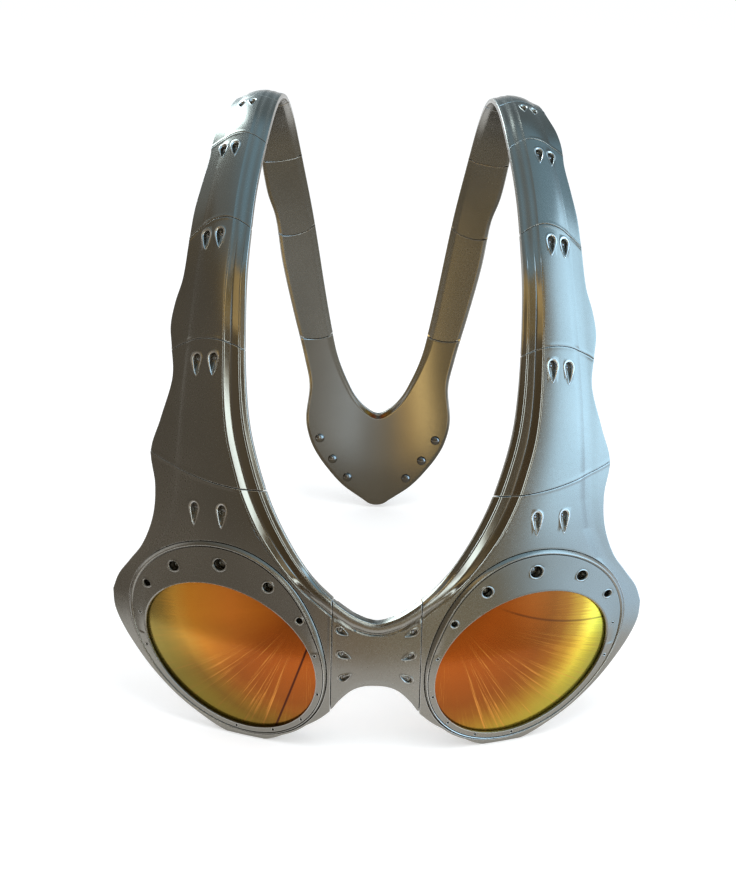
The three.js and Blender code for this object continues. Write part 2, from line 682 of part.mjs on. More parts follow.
add("bridge", bridge(), metal);
add("bridge_strap", bridgeStrap(), darkMetal);
add("rear_plate", rearPlate(), metal);
for (const [word, side] of [["left", -1], ["right", 1]]) {
  add("orbital_" + word, orbital(side), metal);
  add("bezel_" + word, bezel(side), metal);
  add("lens_" + word, lens(side), mirror);
  add("nose_pad_" + word, nosePad(side), rubber);
  for (let k = 1; k < SEAMS.length; k++) add("arm_" + word + "_" + k, armSegment(k, side), metal);
  for (let k = 0; k < SEAMS.length; k++) add("link_" + word + "_" + (k + 1), link(k, side), darkMetal);
  SCREW_HOLES.forEach((degrees, n) =>
    add("bezel_screw_" + word + "_" + (n + 1), bezelScrew(degrees, side), darkMetal),
  );
  REAR_PINS.forEach((_, n) => add("rear_pin_" + word + "_" + (n + 1), rearPin(n, side), darkMetal));
}

export default group;
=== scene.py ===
# %% [markdown]
# # Over-the-head sports sunglasses
# These sunglasses have no temples. Two lens plates and a bridge make the front, and two arms of
# sprung segments run over the crown of the head to a plate behind it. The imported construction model
# is loaded first and never moves: each surface made below takes the place of one of its pieces, and
# rides on the same body, so the arch can flex.

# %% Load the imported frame
import json

import bmesh
import bpy
import numpy as np
from mathutils import Matrix


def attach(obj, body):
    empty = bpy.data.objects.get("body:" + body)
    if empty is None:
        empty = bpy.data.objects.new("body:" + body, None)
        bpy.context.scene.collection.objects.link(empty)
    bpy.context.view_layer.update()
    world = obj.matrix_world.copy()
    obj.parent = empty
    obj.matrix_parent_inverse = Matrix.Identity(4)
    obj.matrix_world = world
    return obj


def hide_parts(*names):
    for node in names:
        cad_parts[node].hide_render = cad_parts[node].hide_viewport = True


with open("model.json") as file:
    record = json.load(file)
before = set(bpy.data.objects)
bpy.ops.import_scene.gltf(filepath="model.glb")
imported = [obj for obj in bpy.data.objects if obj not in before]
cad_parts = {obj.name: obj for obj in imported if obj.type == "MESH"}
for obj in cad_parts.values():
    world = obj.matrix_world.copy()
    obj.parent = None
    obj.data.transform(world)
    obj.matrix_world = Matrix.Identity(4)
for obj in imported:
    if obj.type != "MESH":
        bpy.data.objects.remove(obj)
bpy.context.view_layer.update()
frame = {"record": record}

MM = 0.001
BODY_OF = {
    node: body
    for body, nodes in frame["record"]["behaviour"]["bodies"].items()
    for node in nodes
}
SIDES = {"left": -1, "right": 1}

# %% [markdown]
# ## One arched surface
# The real frame looks as if it were cut from a flat pattern and bent over a head. So every piece is
# drawn on a flat template, in millimetres: "along" runs from the floor at the front over the crown
# to the floor at the back, "across" is the distance from the middle, and "lift" is the height over
# the bent sheet. Working on the template keeps edges, rails and seams in line from piece to piece,
# which free modelling in space would not.

# %% The arch
HALF_DEPTH = 96.0
CROWN_HEIGHT = 169.0
WIDEST_LEVEL = 30.0
FRONT_WRAP = 90.0
CROWN_WRAP = 170.0
REAR_WRAP = 70.0
# The wraps of the front and the rear fade towards the crown, by the angle of the profile in degrees.
FRONT_FADE = 75
REAR_FADE = 105
FADE_SPAN = 60
TEMPLATE_LENGTH = 437.0
RISE = CROWN_HEIGHT - WIDEST_LEVEL
FLOOR_ANGLE = -np.arcsin(WIDEST_LEVEL / RISE)
PROBE = 0.05

ARC_ANGLES = np.linspace(FLOOR_ANGLE - 0.15, np.pi - FLOOR_ANGLE + 0.15, 4001)


def mix(a, b, share):
    """The value a share of the way from a to b."""
    return a + (b - a) * share


def ease(share):
    """A step from 0 to 1 that starts and ends level: 3 s² - 2 s³."""
    share = np.clip(share, 0, 1)
    return share * share * (3 - 2 * share)


def profile(angle):
    """Side view of the arch, an ellipse: depth from the cosine, height from the sine."""
    return -HALF_DEPTH * np.cos(angle), WIDEST_LEVEL + RISE * np.sin(angle)


def arc_lengths():
    """Length of the profile up to each angle, from zero on the floor at the front."""
    depth, height = profile(ARC_ANGLES)
    lengths = np.concatenate([[0], np.cumsum(np.hypot(np.diff(depth), np.diff(height)))])
    return lengths - np.interp(FLOOR_ANGLE, ARC_ANGLES, lengths)


ARC_LENGTHS = arc_lengths()
FULL_LENGTH = np.interp(np.pi - FLOOR_ANGLE, ARC_ANGLES, ARC_LENGTHS)


def surface(along, across):
    """The profile at that length, dropped towards the head by half the bend times across squared."""
    angle = np.interp(along / TEMPLATE_LENGTH * FULL_LENGTH, ARC_LENGTHS, ARC_ANGLES)
    degrees = np.degrees(angle)
    bend = mix(1 / CROWN_WRAP, 1 / FRONT_WRAP, ease((FRONT_FADE - degrees) / FADE_SPAN))
    bend = bend + ease((degrees - REAR_FADE) / FADE_SPAN) * (1 / REAR_WRAP - 1 / CROWN_WRAP)
    depth, height = profile(angle)
    out = np.stack([-np.cos(angle) * RISE, np.sin(angle) * HALF_DEPTH])
    out = out / np.linalg.norm(out, axis=0)
    drop = across**2 * bend / 2
    return np.stack([across, depth - out[0] * drop, height - out[1] * drop], axis=-1)


def place(points):
    """Template points on the arch, in metres: the surface plus lift times its normal, over the floor."""
    along, across, lift = np.moveaxis(points, -1, 0)
    forward = surface(along + PROBE, across) - surface(along - PROBE, across)
    sideways = surface(along, across + PROBE) - surface(along, across - PROBE)
    normal = np.cross(sideways, forward)
    normal /= np.linalg.norm(normal, axis=-1, keepdims=True)
    spots = surface(along, across) + lift[..., None] * normal
    spots[..., 2] = np.maximum(spots[..., 2], 0)
    return spots * MM


print("length of the arch, floor to floor: %.1f mm" % FULL_LENGTH)

# %% [markdown]
# ## The pattern's outlines
# The edges are flowing curves with scallops on the outside, so each is a smooth curve through a few
# points of the right-hand half. A curve that ends on the middle is carried over it, so that the left
# half, which is the mirror image, joins it without a kink. The seams between the segments bow a little
# and need only three places each.

# %% Edges and seams
OUTER_EDGE = [
    (35.5, 74.7), (41.5, 73), (47.5, 69.6), (54, 65.7), (64, 62.5), (74, 61.9), (85, 63.3), (95, 60.6),
    (108, 57.4), (117, 57.8), (124, 58.3), (131, 57.2), (138, 55.3), (150, 54), (160, 53), (170, 51.3),
    (179, 49.9), (188, 49.5), (196, 48.5), (206, 46.5), (222, 44.6), (240, 43.6), (270, 41.8), (300, 39.6),
    (313, 37.1), (334, 35), (356, 31.4), (376, 27.4), (388, 25.5), (402, 26.6), (411, 24.7), (417, 21.8),
    (422, 18.4), (426, 15.2), (429.2, 12), (431.8, 8.5), (434.2, 5), (435.8, 2.6), (436.3, 0),
]
INNER_EDGE = [
    (39.5, 0), (40.9, 5), (43.1, 8.7), (46.4, 13), (50.8, 17.6), (56.3, 21.8), (64, 26.3), (72, 30),
    (81, 33.1), (93, 36), (106, 37.4), (122, 38), (137, 38), (150, 37.4), (163, 36.6), (190, 34),
    (212, 32.5), (258, 29.9), (287, 27.6), (316, 24.2), (348, 20.3), (368, 17.2), (378, 15), (387, 11.7),
    (393.5, 8.5), (398.3, 4.4), (400.6, 0),
]
LOWER_EDGE = [
    (20.6, 0), (20.3, 3.2), (19, 6.2), (15.6, 9.6), (12.5, 11.8), (9, 15.3), (4.4, 21.8), (0.2, 28),
    (-2, 35), (-1, 41.8), (1.9, 48.6), (5.4, 54.9), (10.7, 61.5), (16.7, 67), (23.6, 71.8), (29.4, 74.2),
    (35.5, 74.7),
]
# Each seam: along at the inner edge, the middle and the outer edge, pegs before it, their share across.
SEAMS = [
    (74.8, 77.1, 84.6, 8.8, 0.525), (115, 118.9, 116.3, 6, 0.51), (152, 155.7, 150.3, 4.7, 0.58),
    (184, 188, 183.5, 5.3, 0.635), (211.5, 214.3, 210.5, 5, 0.61), (243, 245, 242, 6, 0.56),
    (284, 284.5, 282.5, 6, 0.56), (319, 321.5, 320, 6, 0.56), (367, 368, 366.5, 6, 0.56),
]
SEAM_GAP = 0.14
BRIDGE_HALF = 12.0
SPAN_STEPS = 16
MIRROR = np.array([1.0, -1.0])


def smooth_line(points, over_start, over_end):
    """Cubic spans through the points; the slope at each comes from the square roots of its chords."""
    knots = np.array(points, float)
    if over_start:
        knots = np.vstack([knots[1] * MIRROR, knots])
    if over_end:
        knots = np.vstack([knots, knots[-2] * MIRROR])
    first = int(over_start)
    last = len(knots) - 1 - int(over_end)
    ends = np.vstack([2 * knots[0] - knots[1], knots, 2 * knots[-1] - knots[-2]])
    p0, p1, p2, p3 = ends[:-3, None], ends[1:-2, None], ends[2:-1, None], ends[3:, None]
    d0, d1, d2 = [
        np.sqrt(np.linalg.norm(b - a, axis=-1, keepdims=True)) for a, b in ((p0, p1), (p1, p2), (p2, p3))
    ]
    slope1 = ((p1 - p0) / d0 - (p2 - p0) / (d0 + d1) + (p2 - p1) / d1) * d1
    slope2 = ((p2 - p1) / d1 - (p3 - p1) / (d1 + d2) + (p3 - p2) / d2) * d1
    t = (np.arange(SPAN_STEPS) / SPAN_STEPS)[None, :, None]
    bend2 = 3 * (p2 - p1) - 2 * slope1 - slope2
    bend3 = 2 * (p1 - p2) + slope1 + slope2
    spans = p1 + slope1 * t + bend2 * t**2 + bend3 * t**3
    return np.vstack([spans[first:last].reshape(-1, 2), knots[last]])


OUTER_LINE = smooth_line(OUTER_EDGE, False, True)
INNER_LINE = smooth_line(INNER_EDGE, True, True)
LOWER_LINE = smooth_line(LOWER_EDGE, True, False)
INNER_FRONT = INNER_LINE[INNER_LINE[:, 0] < 100]
INNER_SLOPE = np.gradient(INNER_LINE[:, 1], INNER_LINE[:, 0])


def inner_at(along):
    """Distance of the inner edge from the middle."""
    return np.interp(along, INNER_LINE[:, 0], INNER_LINE[:, 1])


def outer_at(along):
    """Distance of the outer edge from the middle."""
    return np.interp(along, OUTER_LINE[:, 0], OUTER_LINE[:, 1])


def high_at(across):
    """Height of the inner edge over the bridge."""
    return np.interp(across, INNER_FRONT[:, 1], INNER_FRONT[:, 0])


def low_at(across):
    """Height of the lower edge under the bridge."""
    return np.interp(across, LOWER_LINE[:, 1], LOWER_LINE[:, 0])


def seam_along(k, t):
    """Seam k at a share t across: a straight line plus a bow that fades at both edges."""
    inner, middle, outer = SEAMS[k][:3]
    return inner + t * (outer - inner) + 2 * (inner + outer - 2 * middle) * t * (t - 1)


def distance_to(line, along, across):
    """Least distance from each point to the straight pieces of a line."""
    start, run = line[:-1], np.diff(line, axis=0)
    rest = np.stack([along, across], axis=-1)[..., None, :] - start
    part = np.clip((rest * run).sum(-1) / (run**2).sum(-1), 0, 1)
    return np.linalg.norm(rest - part[..., None] * run, axis=-1).min(-1)


def run_lengths(line):
    """Length of a line up to each of its points."""
    return np.concatenate([[0], np.cumsum(np.linalg.norm(np.diff(line, axis=0), axis=1))])


print("edge points:", len(OUTER_LINE), len(INNER_LINE), len(LOWER_LINE), "seams:", len(SEAMS))

# %% [markdown]
# ## The relief of the face
# From the inner edge outwards the metal climbs a stair: a bright slope, a terrace and a second slope,
# parted by thin grooves. Then come a swelling face, a crease and a flange up to the scalloped edge. Over
# the nose the stair becomes a round roll, and past the temple one smooth band. All of it is a function
# of the share of the rail zone, so the rails run on over every seam. Each seam has a fine ridge beside it.

# %% Relief and underside
FACE_LIFT = 1.8
FACE_SWELL = 0.4
FLANGE_DROP = 0.7
FLANGE_RISE = 0.25
CREASE_DEPTH = 0.04
CREASE_HALF = 2.4
SHELL_INSIDE = 1.8
EDGE_INSIDE = 1.5
FLANGE_START = 34
FLANGE_BLEND = 12
FLANGE_FADE = 108
FLANGE_FADE_SPAN = 45
FLANGE_LOSS = 0.75
CREASE_WIDTH = 1.1
ROLL_FOOT = 0.6
ROLL_HEIGHT = 1.4
ROLL_MIDDLE = 0.42
ROLL_HALF = 0.56
BAND_FOOT = -0.2
BAND_WAVE = 0.06
SEAM_RIDGE = 0.1
RIDGE_AWAY = 0.4
RIDGE_HALF = 0.42
REAR_THINNING = 2.3
THINNING_START = 215
THINNING_BLEND = 40
THINNING_REACH = 2.4
INNER_TURN_UP = 2.5
OUTER_TURN_UP = 1.2
# Lift of the lens plates' inside, and the height from which a point is near the first seam.
PLATE_INSIDE = -SHELL_INSIDE - 0.2
SEAM_NEAR = 60
FAR_AWAY = 9.0
# Width of the rail zone and place of the crease, by distance along.
RAIL_PLAN = [
    (20, 3.2), (45, 3.4), (57, 4.8), (66, 5.8), (76, 6.2), (115, 5.2), (150, 4.5), (205, 4.6),
    (300, 3.6), (366, 3.2),
]
CREASE_PLAN = [
    (36, 71.5), (45, 67.5), (54, 61.2), (64, 57.4), (73, 56.1), (88, 55.6), (103.5, 54.6), (124.6, 52.8),
    (156, 50), (205, 43.7), (300, 37.2), (366, 27.3),
]
# The stair of the rail: share of the zone from the inner edge, and lift.
STAIR = [
    (0.0, -0.7), (0.215, 0.24), (0.24, 0.27), (0.257, 0.14), (0.28, 0.28), (0.62, 0.72), (0.645, 0.72),
    (0.663, 0.56), (0.69, 0.74), (0.95, 1.84), (0.975, 1.86), (0.99, 1.68), (1.015, 1.8),
]
STAIR_PLACES, STAIR_LIFTS = np.array(STAIR).T
STAIR_START = 44.0
STAIR_BLEND = 10.0
STAIR_END = 124.0
STAIR_FADE = 30.0


def by_plan(plan, along):
    """Straight lines between the plan's places."""
    places, values = np.array(plan, float).T
    return np.interp(along, places, values)


def stair_share(along):
    """How far the rail is a stair: from none over the nose to all, and back to none past the temple."""
    return ease((along - STAIR_START) / STAIR_BLEND) * (1 - ease((along - STAIR_END) / STAIR_FADE))


def relief(along, share, beyond):
    """Lift of the face: roll, stair or band by share of the rail zone, then swell, crease and flange."""
    rail = by_plan(RAIL_PLAN, along)
    depth = share * rail
    climb = np.clip(share, 0, 1)
    roll = ROLL_FOOT + ROLL_HEIGHT * np.sqrt(np.clip(1 - ((share - ROLL_MIDDLE) / ROLL_HALF) ** 2, 0, 1))
    roll = mix(roll, FACE_LIFT, ease((share - 0.8) / 0.3))
    band = mix(BAND_FOOT, FACE_LIFT, climb) + BAND_WAVE * np.sin(4 * np.pi * climb)
    plain = mix(roll, band, ease((along - STAIR_END) / STAIR_FADE))
    zone = mix(plain, np.interp(share, STAIR_PLACES, STAIR_LIFTS), stair_share(along))
    way = np.clip(2 * (depth - rail) / np.maximum(depth - beyond - rail, 1) - 1, -1, 1)
    flange = FLANGE_DROP * ease((beyond / CREASE_HALF + 1) / 2) - FLANGE_RISE * np.clip(beyond / 4, 0, 1)
    flange = flange + CREASE_DEPTH * np.exp(-((beyond / CREASE_WIDTH) ** 2))
    flange = flange * ease((along - FLANGE_START) / FLANGE_BLEND)
    flange = flange * (1 - FLANGE_LOSS * ease((along - FLANGE_FADE) / FLANGE_FADE_SPAN))
    return zone + FACE_SWELL * (1 - way**2) - flange


def ridge(away, share):
    """A fine ridge beside a seam, off the rails: a bell curve of the distance from the seam."""
    return SEAM_RIDGE * np.exp(-(((away - RIDGE_AWAY) / RIDGE_HALF) ** 2)) * ease((share - 1) / 0.4)


def thinned(lift, along, gap):
    """Behind the crown the face falls towards its outer rim, which is dressed thin."""
    fall = REAR_THINNING * ease((along - THINNING_START) / THINNING_BLEND)
    return lift - fall * (1 - ease(gap / THINNING_REACH))


def underside(depth, gap):
    """Lift of the inside, which turns up a little close to either edge."""
    turn_up = 2 - ease(depth / INNER_TURN_UP) - ease(gap / OUTER_TURN_UP)
    return -SHELL_INSIDE + (SHELL_INSIDE - EDGE_INSIDE) * turn_up


def rail_zone(along):
    """Width of an arm's rail zone measured straight across, where the inner edge slopes."""
    return by_plan(RAIL_PLAN, along) * np.hypot(1, np.interp(along, INNER_LINE[:, 0], INNER_SLOPE))


def arm_share(along, across):
    """Share of the rail zone on an arm."""
    return (across - inner_at(along)) / rail_zone(along)


def arm_relief(along, across, share):
    """Relief on an arm where the share of the rail zone is known."""
    lift = relief(along, share, across - by_plan(CREASE_PLAN, along))
    return thinned(lift, along, outer_at(along) - across)


def arm_lift(along, across):
    """Relief on an arm."""
    return arm_relief(along, across, arm_share(along, across))


def front_share(along, across):
    """Share of the rail zone on the front, by the true distance to the inner edge."""
    return distance_to(INNER_FRONT, along, np.abs(across)) / by_plan(RAIL_PLAN, along)


def front_relief(along, across, share):
    """Relief on the front where the share is known, with ridges beside the bridge and the first seam."""
    across = np.abs(across)
    t = np.clip((across - inner_at(along)) / (outer_at(along) - inner_at(along)), 0, 1)
    to_seam = np.where(along > SEAM_NEAR, seam_along(0, t) - SEAM_GAP / 2 - along, FAR_AWAY)
    to_bridge = np.abs(across - BRIDGE_HALF) - SEAM_GAP / 2
    lift = relief(along, share, across - by_plan(CREASE_PLAN, along))
    return lift + ridge(to_seam, share) + ridge(to_bridge, share)


def front_lift(along, across):
    """Relief on the lens plates and the bridge."""
    return front_relief(along, across, front_share(along, across))


print("lift of the face in mid arm: %.2f mm" % arm_lift(100.0, 48.0))

# %% [markdown]
# ## From grids to closed pieces
# Every piece is a handful of grids of points that meet along their borders. Points that fall together
# are welded, quads that shrink to an edge are dropped, and the mesh is closed. A "plate" is an upper and
# a lower grid with a rounded wall round them. The wall has a ship-lap: a thin tongue at one end slides
# under a recess in the next piece, so no light comes through the seam, and the arch can still flex.

# %% Mesh helpers
EDGE = 0.2
SEAM_EDGE = 0.18
ROUND_TURNS = np.radians([0, 22.5, 45, 67.5, 90])
LEAF_SHARES = (0.43, 0.775)
SHARP_ANGLE = np.radians(38)
# A drop's head by its radius, the power of its pointed tail, and the radius that has a full lip.
DROP_HEAD = 1.45
DROP_POWER = 1.3
LIP_RADIUS = 0.9
LIP_GROWTH = 0.46
TAIL_GROWTH = 2.3
# The floor rises from a share of the radius behind the middle to just under the face, by a power.
SCOOP_START = 0.4
SCOOP_SHORT = 2.4
SCOOP_POWER = 1.6
SCOOP_END = 0.2
# Growth of the opening's outline in mm, lift over the face, and share of the way to the floor.
RIM_STEPS = [
    (0.4, 0.05, 0.0), (0.3, 0.09, 0.0), (0.2, 0.1, 0.0), (0.04, 0.0, 0.0), (-0.08, -0.2, 0.0),
    (-0.13, -0.2, 0.5), (-0.2, 0.0, 0.9), (-0.32, 0.0, 1.0),
]
finished = {}


def grid_quads(rows, columns, closed=False):
    """Corner numbers of every quad of a grid; a closed grid also joins its last column to its first."""
    index = np.arange(rows * columns).reshape(rows, columns)
    if closed:
        index = np.hstack([index, index[:, :1]])
    corners = [index[:-1, :-1], index[1:, :-1], index[1:, 1:], index[:-1, 1:]]
    return np.stack(corners, axis=-1)


def sheet(grid, closed=False, holes=()):
    """A grid as a patch of points and quads, without the quads of rectangular holes."""
    quads = grid_quads(*grid.shape[:2], closed)
    keep = np.ones(quads.shape[:2], bool)
    for i0, i1, j0, j1 in holes:
        keep[i0:i1, j0:j1] = False
    return grid.reshape(-1, 3), quads[keep]


def border(rows, columns):
    """Point numbers once round the rim of a grid."""
    index = np.arange(rows * columns).reshape(rows, columns)
    return np.concatenate([index[0], index[1:, -1], index[-1, -2::-1], index[-2:0:-1, 0]])


def unit(vectors):
    """Vectors brought to length one."""
    return vectors / np.linalg.norm(vectors, axis=-1, keepdims=True)


def outward(grid, row_edge, column_edge):
    """Steps that leave the rim of a grid, away from the next row or column; corners take both."""
    flat = grid[..., :2]
    step = np.zeros(flat.shape)
    step[0] += row_edge * unit(flat[0] - flat[1])
    step[-1] += row_edge * unit(flat[-1] - flat[-2])
    step[:, 0] += column_edge * unit(flat[:, 0] - flat[:, 1])
    step[:, -1] += column_edge * unit(flat[:, -1] - flat[:, -2])
    return step


def shifted(points, step, lift):
    """Template points moved by a step in the plane and set to a lift."""
    return np.concatenate([points[..., :2] + step, lift[..., None]], axis=-1)


def plate_wall(top, bottom, row_edge, column_edge, lap):
    """Rim of a plate: a quarter round, the wall with a step at the share lap, and a quarter round."""
    loop = border(*top.shape[:2])
    upper, lower = top.reshape(-1, 3)[loop], bottom.reshape(-1, 3)[loop]
    away_upper = outward(top, row_edge, column_edge).reshape(-1, 2)[loop]
    away_lower = outward(bottom, row_edge, column_edge).reshape(-1, 2)[loop]
    edge = np.full(top.shape[:2], column_edge)
    edge[[0, -1]] = row_edge
    edge = edge.reshape(-1)[loop]
    high, low = upper[:, 2] - edge, lower[:, 2] + edge
    rows = [
        shifted(upper, away_upper * np.sin(turn), high + edge * np.cos(turn)) for turn in ROUND_TURNS
    ]
    for share in LEAF_SHARES:
        rows.append(shifted(upper, away_upper, mix(high, low, share)))
    rows.append(shifted(upper, away_upper, mix(high, low, lap)))
    rows.append(shifted(lower, away_lower, mix(high, low, lap)))
    for turn in ROUND_TURNS[::-1]:
        rows.append(shifted(lower, away_lower * np.sin(turn), low - edge * np.cos(turn)))
    return np.stack(rows)


def pocket(wall, block, shift):
    """A block of a grid pushed in by a shift: its floor, and strips that join it to the old border."""
    i0, i1, j0, j1 = block
    mouth = wall[i0 : i1 + 1, j0 : j1 + 1]
    floor = mouth + np.array(shift)
    rim = border(*mouth.shape[:2])
    strip = np.stack([mouth.reshape(-1, 3)[rim], floor.reshape(-1, 3)[rim]])
    return [sheet(floor), sheet(strip, closed=True)]


def drop_ends(radius, length):
    """Reach of a drop's head and of its tail from its middle."""
    return DROP_HEAD * radius, length - DROP_HEAD * radius


def drop_reach(angle, radius, length):
    """Outline of an almond: half an ellipse round the head, a pointed super-ellipse at the tail."""
    if length is None:
        return np.full(angle.shape, radius)
    head, tail = drop_ends(radius, length)
    forward, sideways = np.abs(np.cos(angle)), np.abs(np.sin(angle)) / radius
    pointed = ((forward / tail) ** DROP_POWER + sideways**DROP_POWER) ** (-1 / DROP_POWER)
    return np.where(np.cos(angle) > 0, pointed, 1 / np.hypot(forward / head, sideways))


def opening_block(grid, middle, before, after, half):
    """Rows and columns of a grid that frame an opening, from its reach before, after and sideways."""
    away = np.linalg.norm(grid[..., :2] - np.array(middle), axis=-1)
    i, j = np.unravel_index(away.argmin(), away.shape)
    rows, columns = grid[:, j, 0] - middle[0], grid[i, :, 1] - middle[1]
    if rows[0] > rows[-1]:
        before, after = after, before
        rows = -rows
    i0, i1 = np.searchsorted(rows, [-before, after])
    columns = columns if columns[0] < columns[-1] else -columns
    j0, j1 = np.searchsorted(columns, [-half, half])
    return i0 - 1, i1, j0 - 1, j1


def pierced(grid, block, middle, radius, floor, lift, tail=0.0, length=None, broad=1.0):
    """Rings from a block's border to an opening: lip, chamfer, and a floor that rises to the tail."""
    i0, i1, j0, j1 = block
    part = grid[i0 : i1 + 1, j0 : j1 + 1]
    rim = part.reshape(-1, 3)[border(*part.shape[:2])]
    rays = rim[:, :2] - np.array(middle)
    angle = np.arctan2(rays[:, 1], rays[:, 0])
    toward = np.stack([np.cos(angle), np.sin(angle)], axis=-1)
    scale = min(1.0, radius / LIP_RADIUS)

    def ring(grow, drop, depth):
        grow = grow * scale * (broad if grow > 0 else 1.0)
        longer = None if length is None else length + TAIL_GROWTH * grow
        flat = np.array(middle) + drop_reach(angle - tail, radius + grow, longer)[:, None] * toward
        face = lift(flat[:, 0], flat[:, 1])
        scoop = np.full(len(flat), floor)
        if length is not None:
            way = (flat - np.array(middle)) @ [np.cos(tail), np.sin(tail)] - SCOOP_START * radius
            rise = ease(way / (length - SCOOP_SHORT * radius)) ** SCOOP_POWER
            scoop = mix(floor, face - SCOOP_END, rise)
        return np.column_stack([flat, mix(face + drop * scale, scoop, depth)])

    first = ring(LIP_GROWTH, 0.0, 0.0)
    rings = [rim, mix(rim, first, 0.5), first]
    rings += [ring(*step) for step in RIM_STEPS]
    rings.append(np.broadcast_to([*middle, floor], rim.shape))
    return sheet(np.stack(rings), closed=True)


def revolved(middle, stations, turns=32):
    """A turned piece that stands on the template: rings of (radius, lift) from foot to top."""
    turn = np.linspace(0, 2 * np.pi, turns, endpoint=False)
    radius, lift = np.array(stations, float).T
    along = middle[0] + np.outer(radius, np.cos(turn))
    across = middle[1] + np.outer(radius, np.sin(turn))
    lift = np.broadcast_to(lift[:, None], along.shape)
    return sheet(np.stack([along, across, lift], axis=-1), closed=True)


def domed(radius, foot, top, crown):
    """Stations of a stud: a flat foot, a straight stem and a round crown of that height."""
    turn = np.radians(np.linspace(0, 90, 7))
    crown_rows = list(zip(radius * np.cos(turn), top - crown + crown * np.sin(turn)))
    return [(0, foot), (0.9 * radius, foot), (radius, foot + 0.1 * radius), *crown_rows]


def welded(patches):
    """All patches as one list of points and faces, with doubles merged and shrunken quads left out."""
    counts = np.cumsum([0] + [len(points) for points, _ in patches])
    points = np.vstack([points for points, _ in patches])
    quads = np.vstack([quads.reshape(-1, 4) + start for (_, quads), start in zip(patches, counts)])
    _, first, inverse = np.unique(np.round(points, 4), axis=0, return_index=True, return_inverse=True)
    quads = inverse.reshape(-1)[quads]
    same = quads == np.roll(quads, -1, axis=1)
    whole = ~same.any(axis=1) & (quads[:, 0] != quads[:, 2]) & (quads[:, 1] != quads[:, 3])
    single = same.sum(axis=1) == 1
    triangles = quads[single][~same[single]].reshape(-1, 3)
    return points[first], quads[whole].tolist() + triangles.tolist()


def curvature(mesh):
    """Mean bend at each point: how far its neighbours fall below its tangent plane, per millimetre."""
    spots = np.empty(len(mesh.vertices) * 3)
    mesh.vertices.foreach_get("co", spots)
    normals = np.empty(len(mesh.vertices) * 3)
    mesh.vertices.foreach_get("normal", normals)
    ends = np.empty(len(mesh.edges) * 2, np.int32)
    mesh.edges.foreach_get("vertices", ends)
    spots, normals, ends = spots.reshape(-1, 3), normals.reshape(-1, 3), ends.reshape(-1, 2)
    total = np.zeros(len(spots))
    count = np.zeros(len(spots))
    for here, there in (ends.T, ends.T[::-1]):
        run = spots[there] - spots[here]
        fall = -2 * (run * normals[here]).sum(-1) / np.maximum((run**2).sum(-1), 1e-12) * MM
        np.add.at(total, here, fall)
        np.add.at(count, here, 1)
    return total / np.maximum(count, 1)


def rail_polish(share):
    """Gives a function that is 1 on the stair of the rails and 0 elsewhere."""

    def polish(points):
        along, across = points[:, 0], points[:, 1]
        return (1 - ease((share(along, across) - 1) / 0.05)) * stair_share(along)

    return polish


def inside_polish(points):
    """1 on the inside of a shell and 0 on its face."""
    return 1 - ease((points[:, 2] + 0.4) / 0.4)


def carry(mesh, name, values):
    """Gives a mesh an attribute on its points: one number each, or a row of three."""
    kind, field = ("FLOAT", "value") if values.ndim == 1 else ("FLOAT_VECTOR", "vector")
    made_attribute = mesh.attributes.new(name, kind, "POINT")
    made_attribute.data.foreach_set(field, values.astype(np.float32).ravel())


def finish_piece(name, node, patches, side, material, fan=None, polish=None, painted_highlight=None):
    """Welds, mirrors and places patches as one closed mesh that replaces a node and rides its body."""
    points, faces = welded(patches)
    mesh = bpy.data.meshes.new(name)
    mesh.from_pydata(place(points * np.array([1, side, 1])).tolist(), [], faces)
    work = bmesh.new()
    work.from_mesh(mesh)
    bmesh.ops.recalc_face_normals(work, faces=work.faces)
    open_edges = sum(not edge.is_manifold for edge in work.edges)
    work.to_mesh(mesh)
    work.free()
    mesh.shade_smooth()
    mesh.set_sharp_from_angle(angle=SHARP_ANGLE)
    carry(mesh, "bend", curvature(mesh))
    if fan is not None:
        carry(mesh, "fan", fan(points, side))
    if polish is not None:
        carry(mesh, "polish", polish(points))
    # A painted highlight round drop rims, as a mask on the points.
    if painted_highlight is not None:
        carry(mesh, "painted_highlight", painted_highlight(points))
    mesh.materials.append(material)
    piece = bpy.data.objects.new(name, mesh)
    bpy.context.scene.collection.objects.link(piece)
    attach(piece, BODY_OF[node])
    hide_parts(node)
    finished[name] = (len(faces), open_edges)
    return piece


def report(words, start):
    """Prints how many faces the pieces made since a count have, and how many edges are open."""
    made = list(finished.values())[start:]
    faces = sum(faces for faces, _ in made)
    gaps = sum(open_edges for _, open_edges in made)
    print(f"{words}: {len(made)} pieces, {faces} faces, {gaps} open edges")


print("mesh helpers ready")

# %% [markdown]
# ## Shared finish effects
# Three effects come back in several materials, so each is a node group that is built once: a fine
# satin grain, slow clouds of tone left by polishing and handling, and edges rubbed bright, which come
# with a mask of painted shade for the hollows. The groups put out masks only. What is the same all over
# a surface is set on each shader.

# %% Node groups


def node_group(name, inputs, outputs):
    """An empty shader group with number or vector inputs and number outputs."""
    group = bpy.data.node_groups.new(name, "ShaderNodeTree")
    for label, kind in inputs:
        group.interface.new_socket(label, in_out="INPUT", socket_type=kind)
    for label in outputs:
        group.interface.new_socket(label, in_out="OUTPUT", socket_type="NodeSocketFloat")
    return group, group.nodes.new("NodeGroupInput"), group.nodes.new("NodeGroupOutput")


def noise(tree, vector, scale, detail=3.0, roughness=0.55):
    """A noise texture on a vector; scale may be a number or a socket."""
    node = tree.nodes.new("ShaderNodeTexNoise")
    node.inputs["Detail"].default_value = detail
    node.inputs["Roughness"].default_value = roughness
    tree.links.new(vector, node.inputs["Vector"])
    if isinstance(scale, (int, float)):
        node.inputs["Scale"].default_value = scale
    else:
        tree.links.new(scale, node.inputs["Scale"])
    return node.outputs["Fac"]


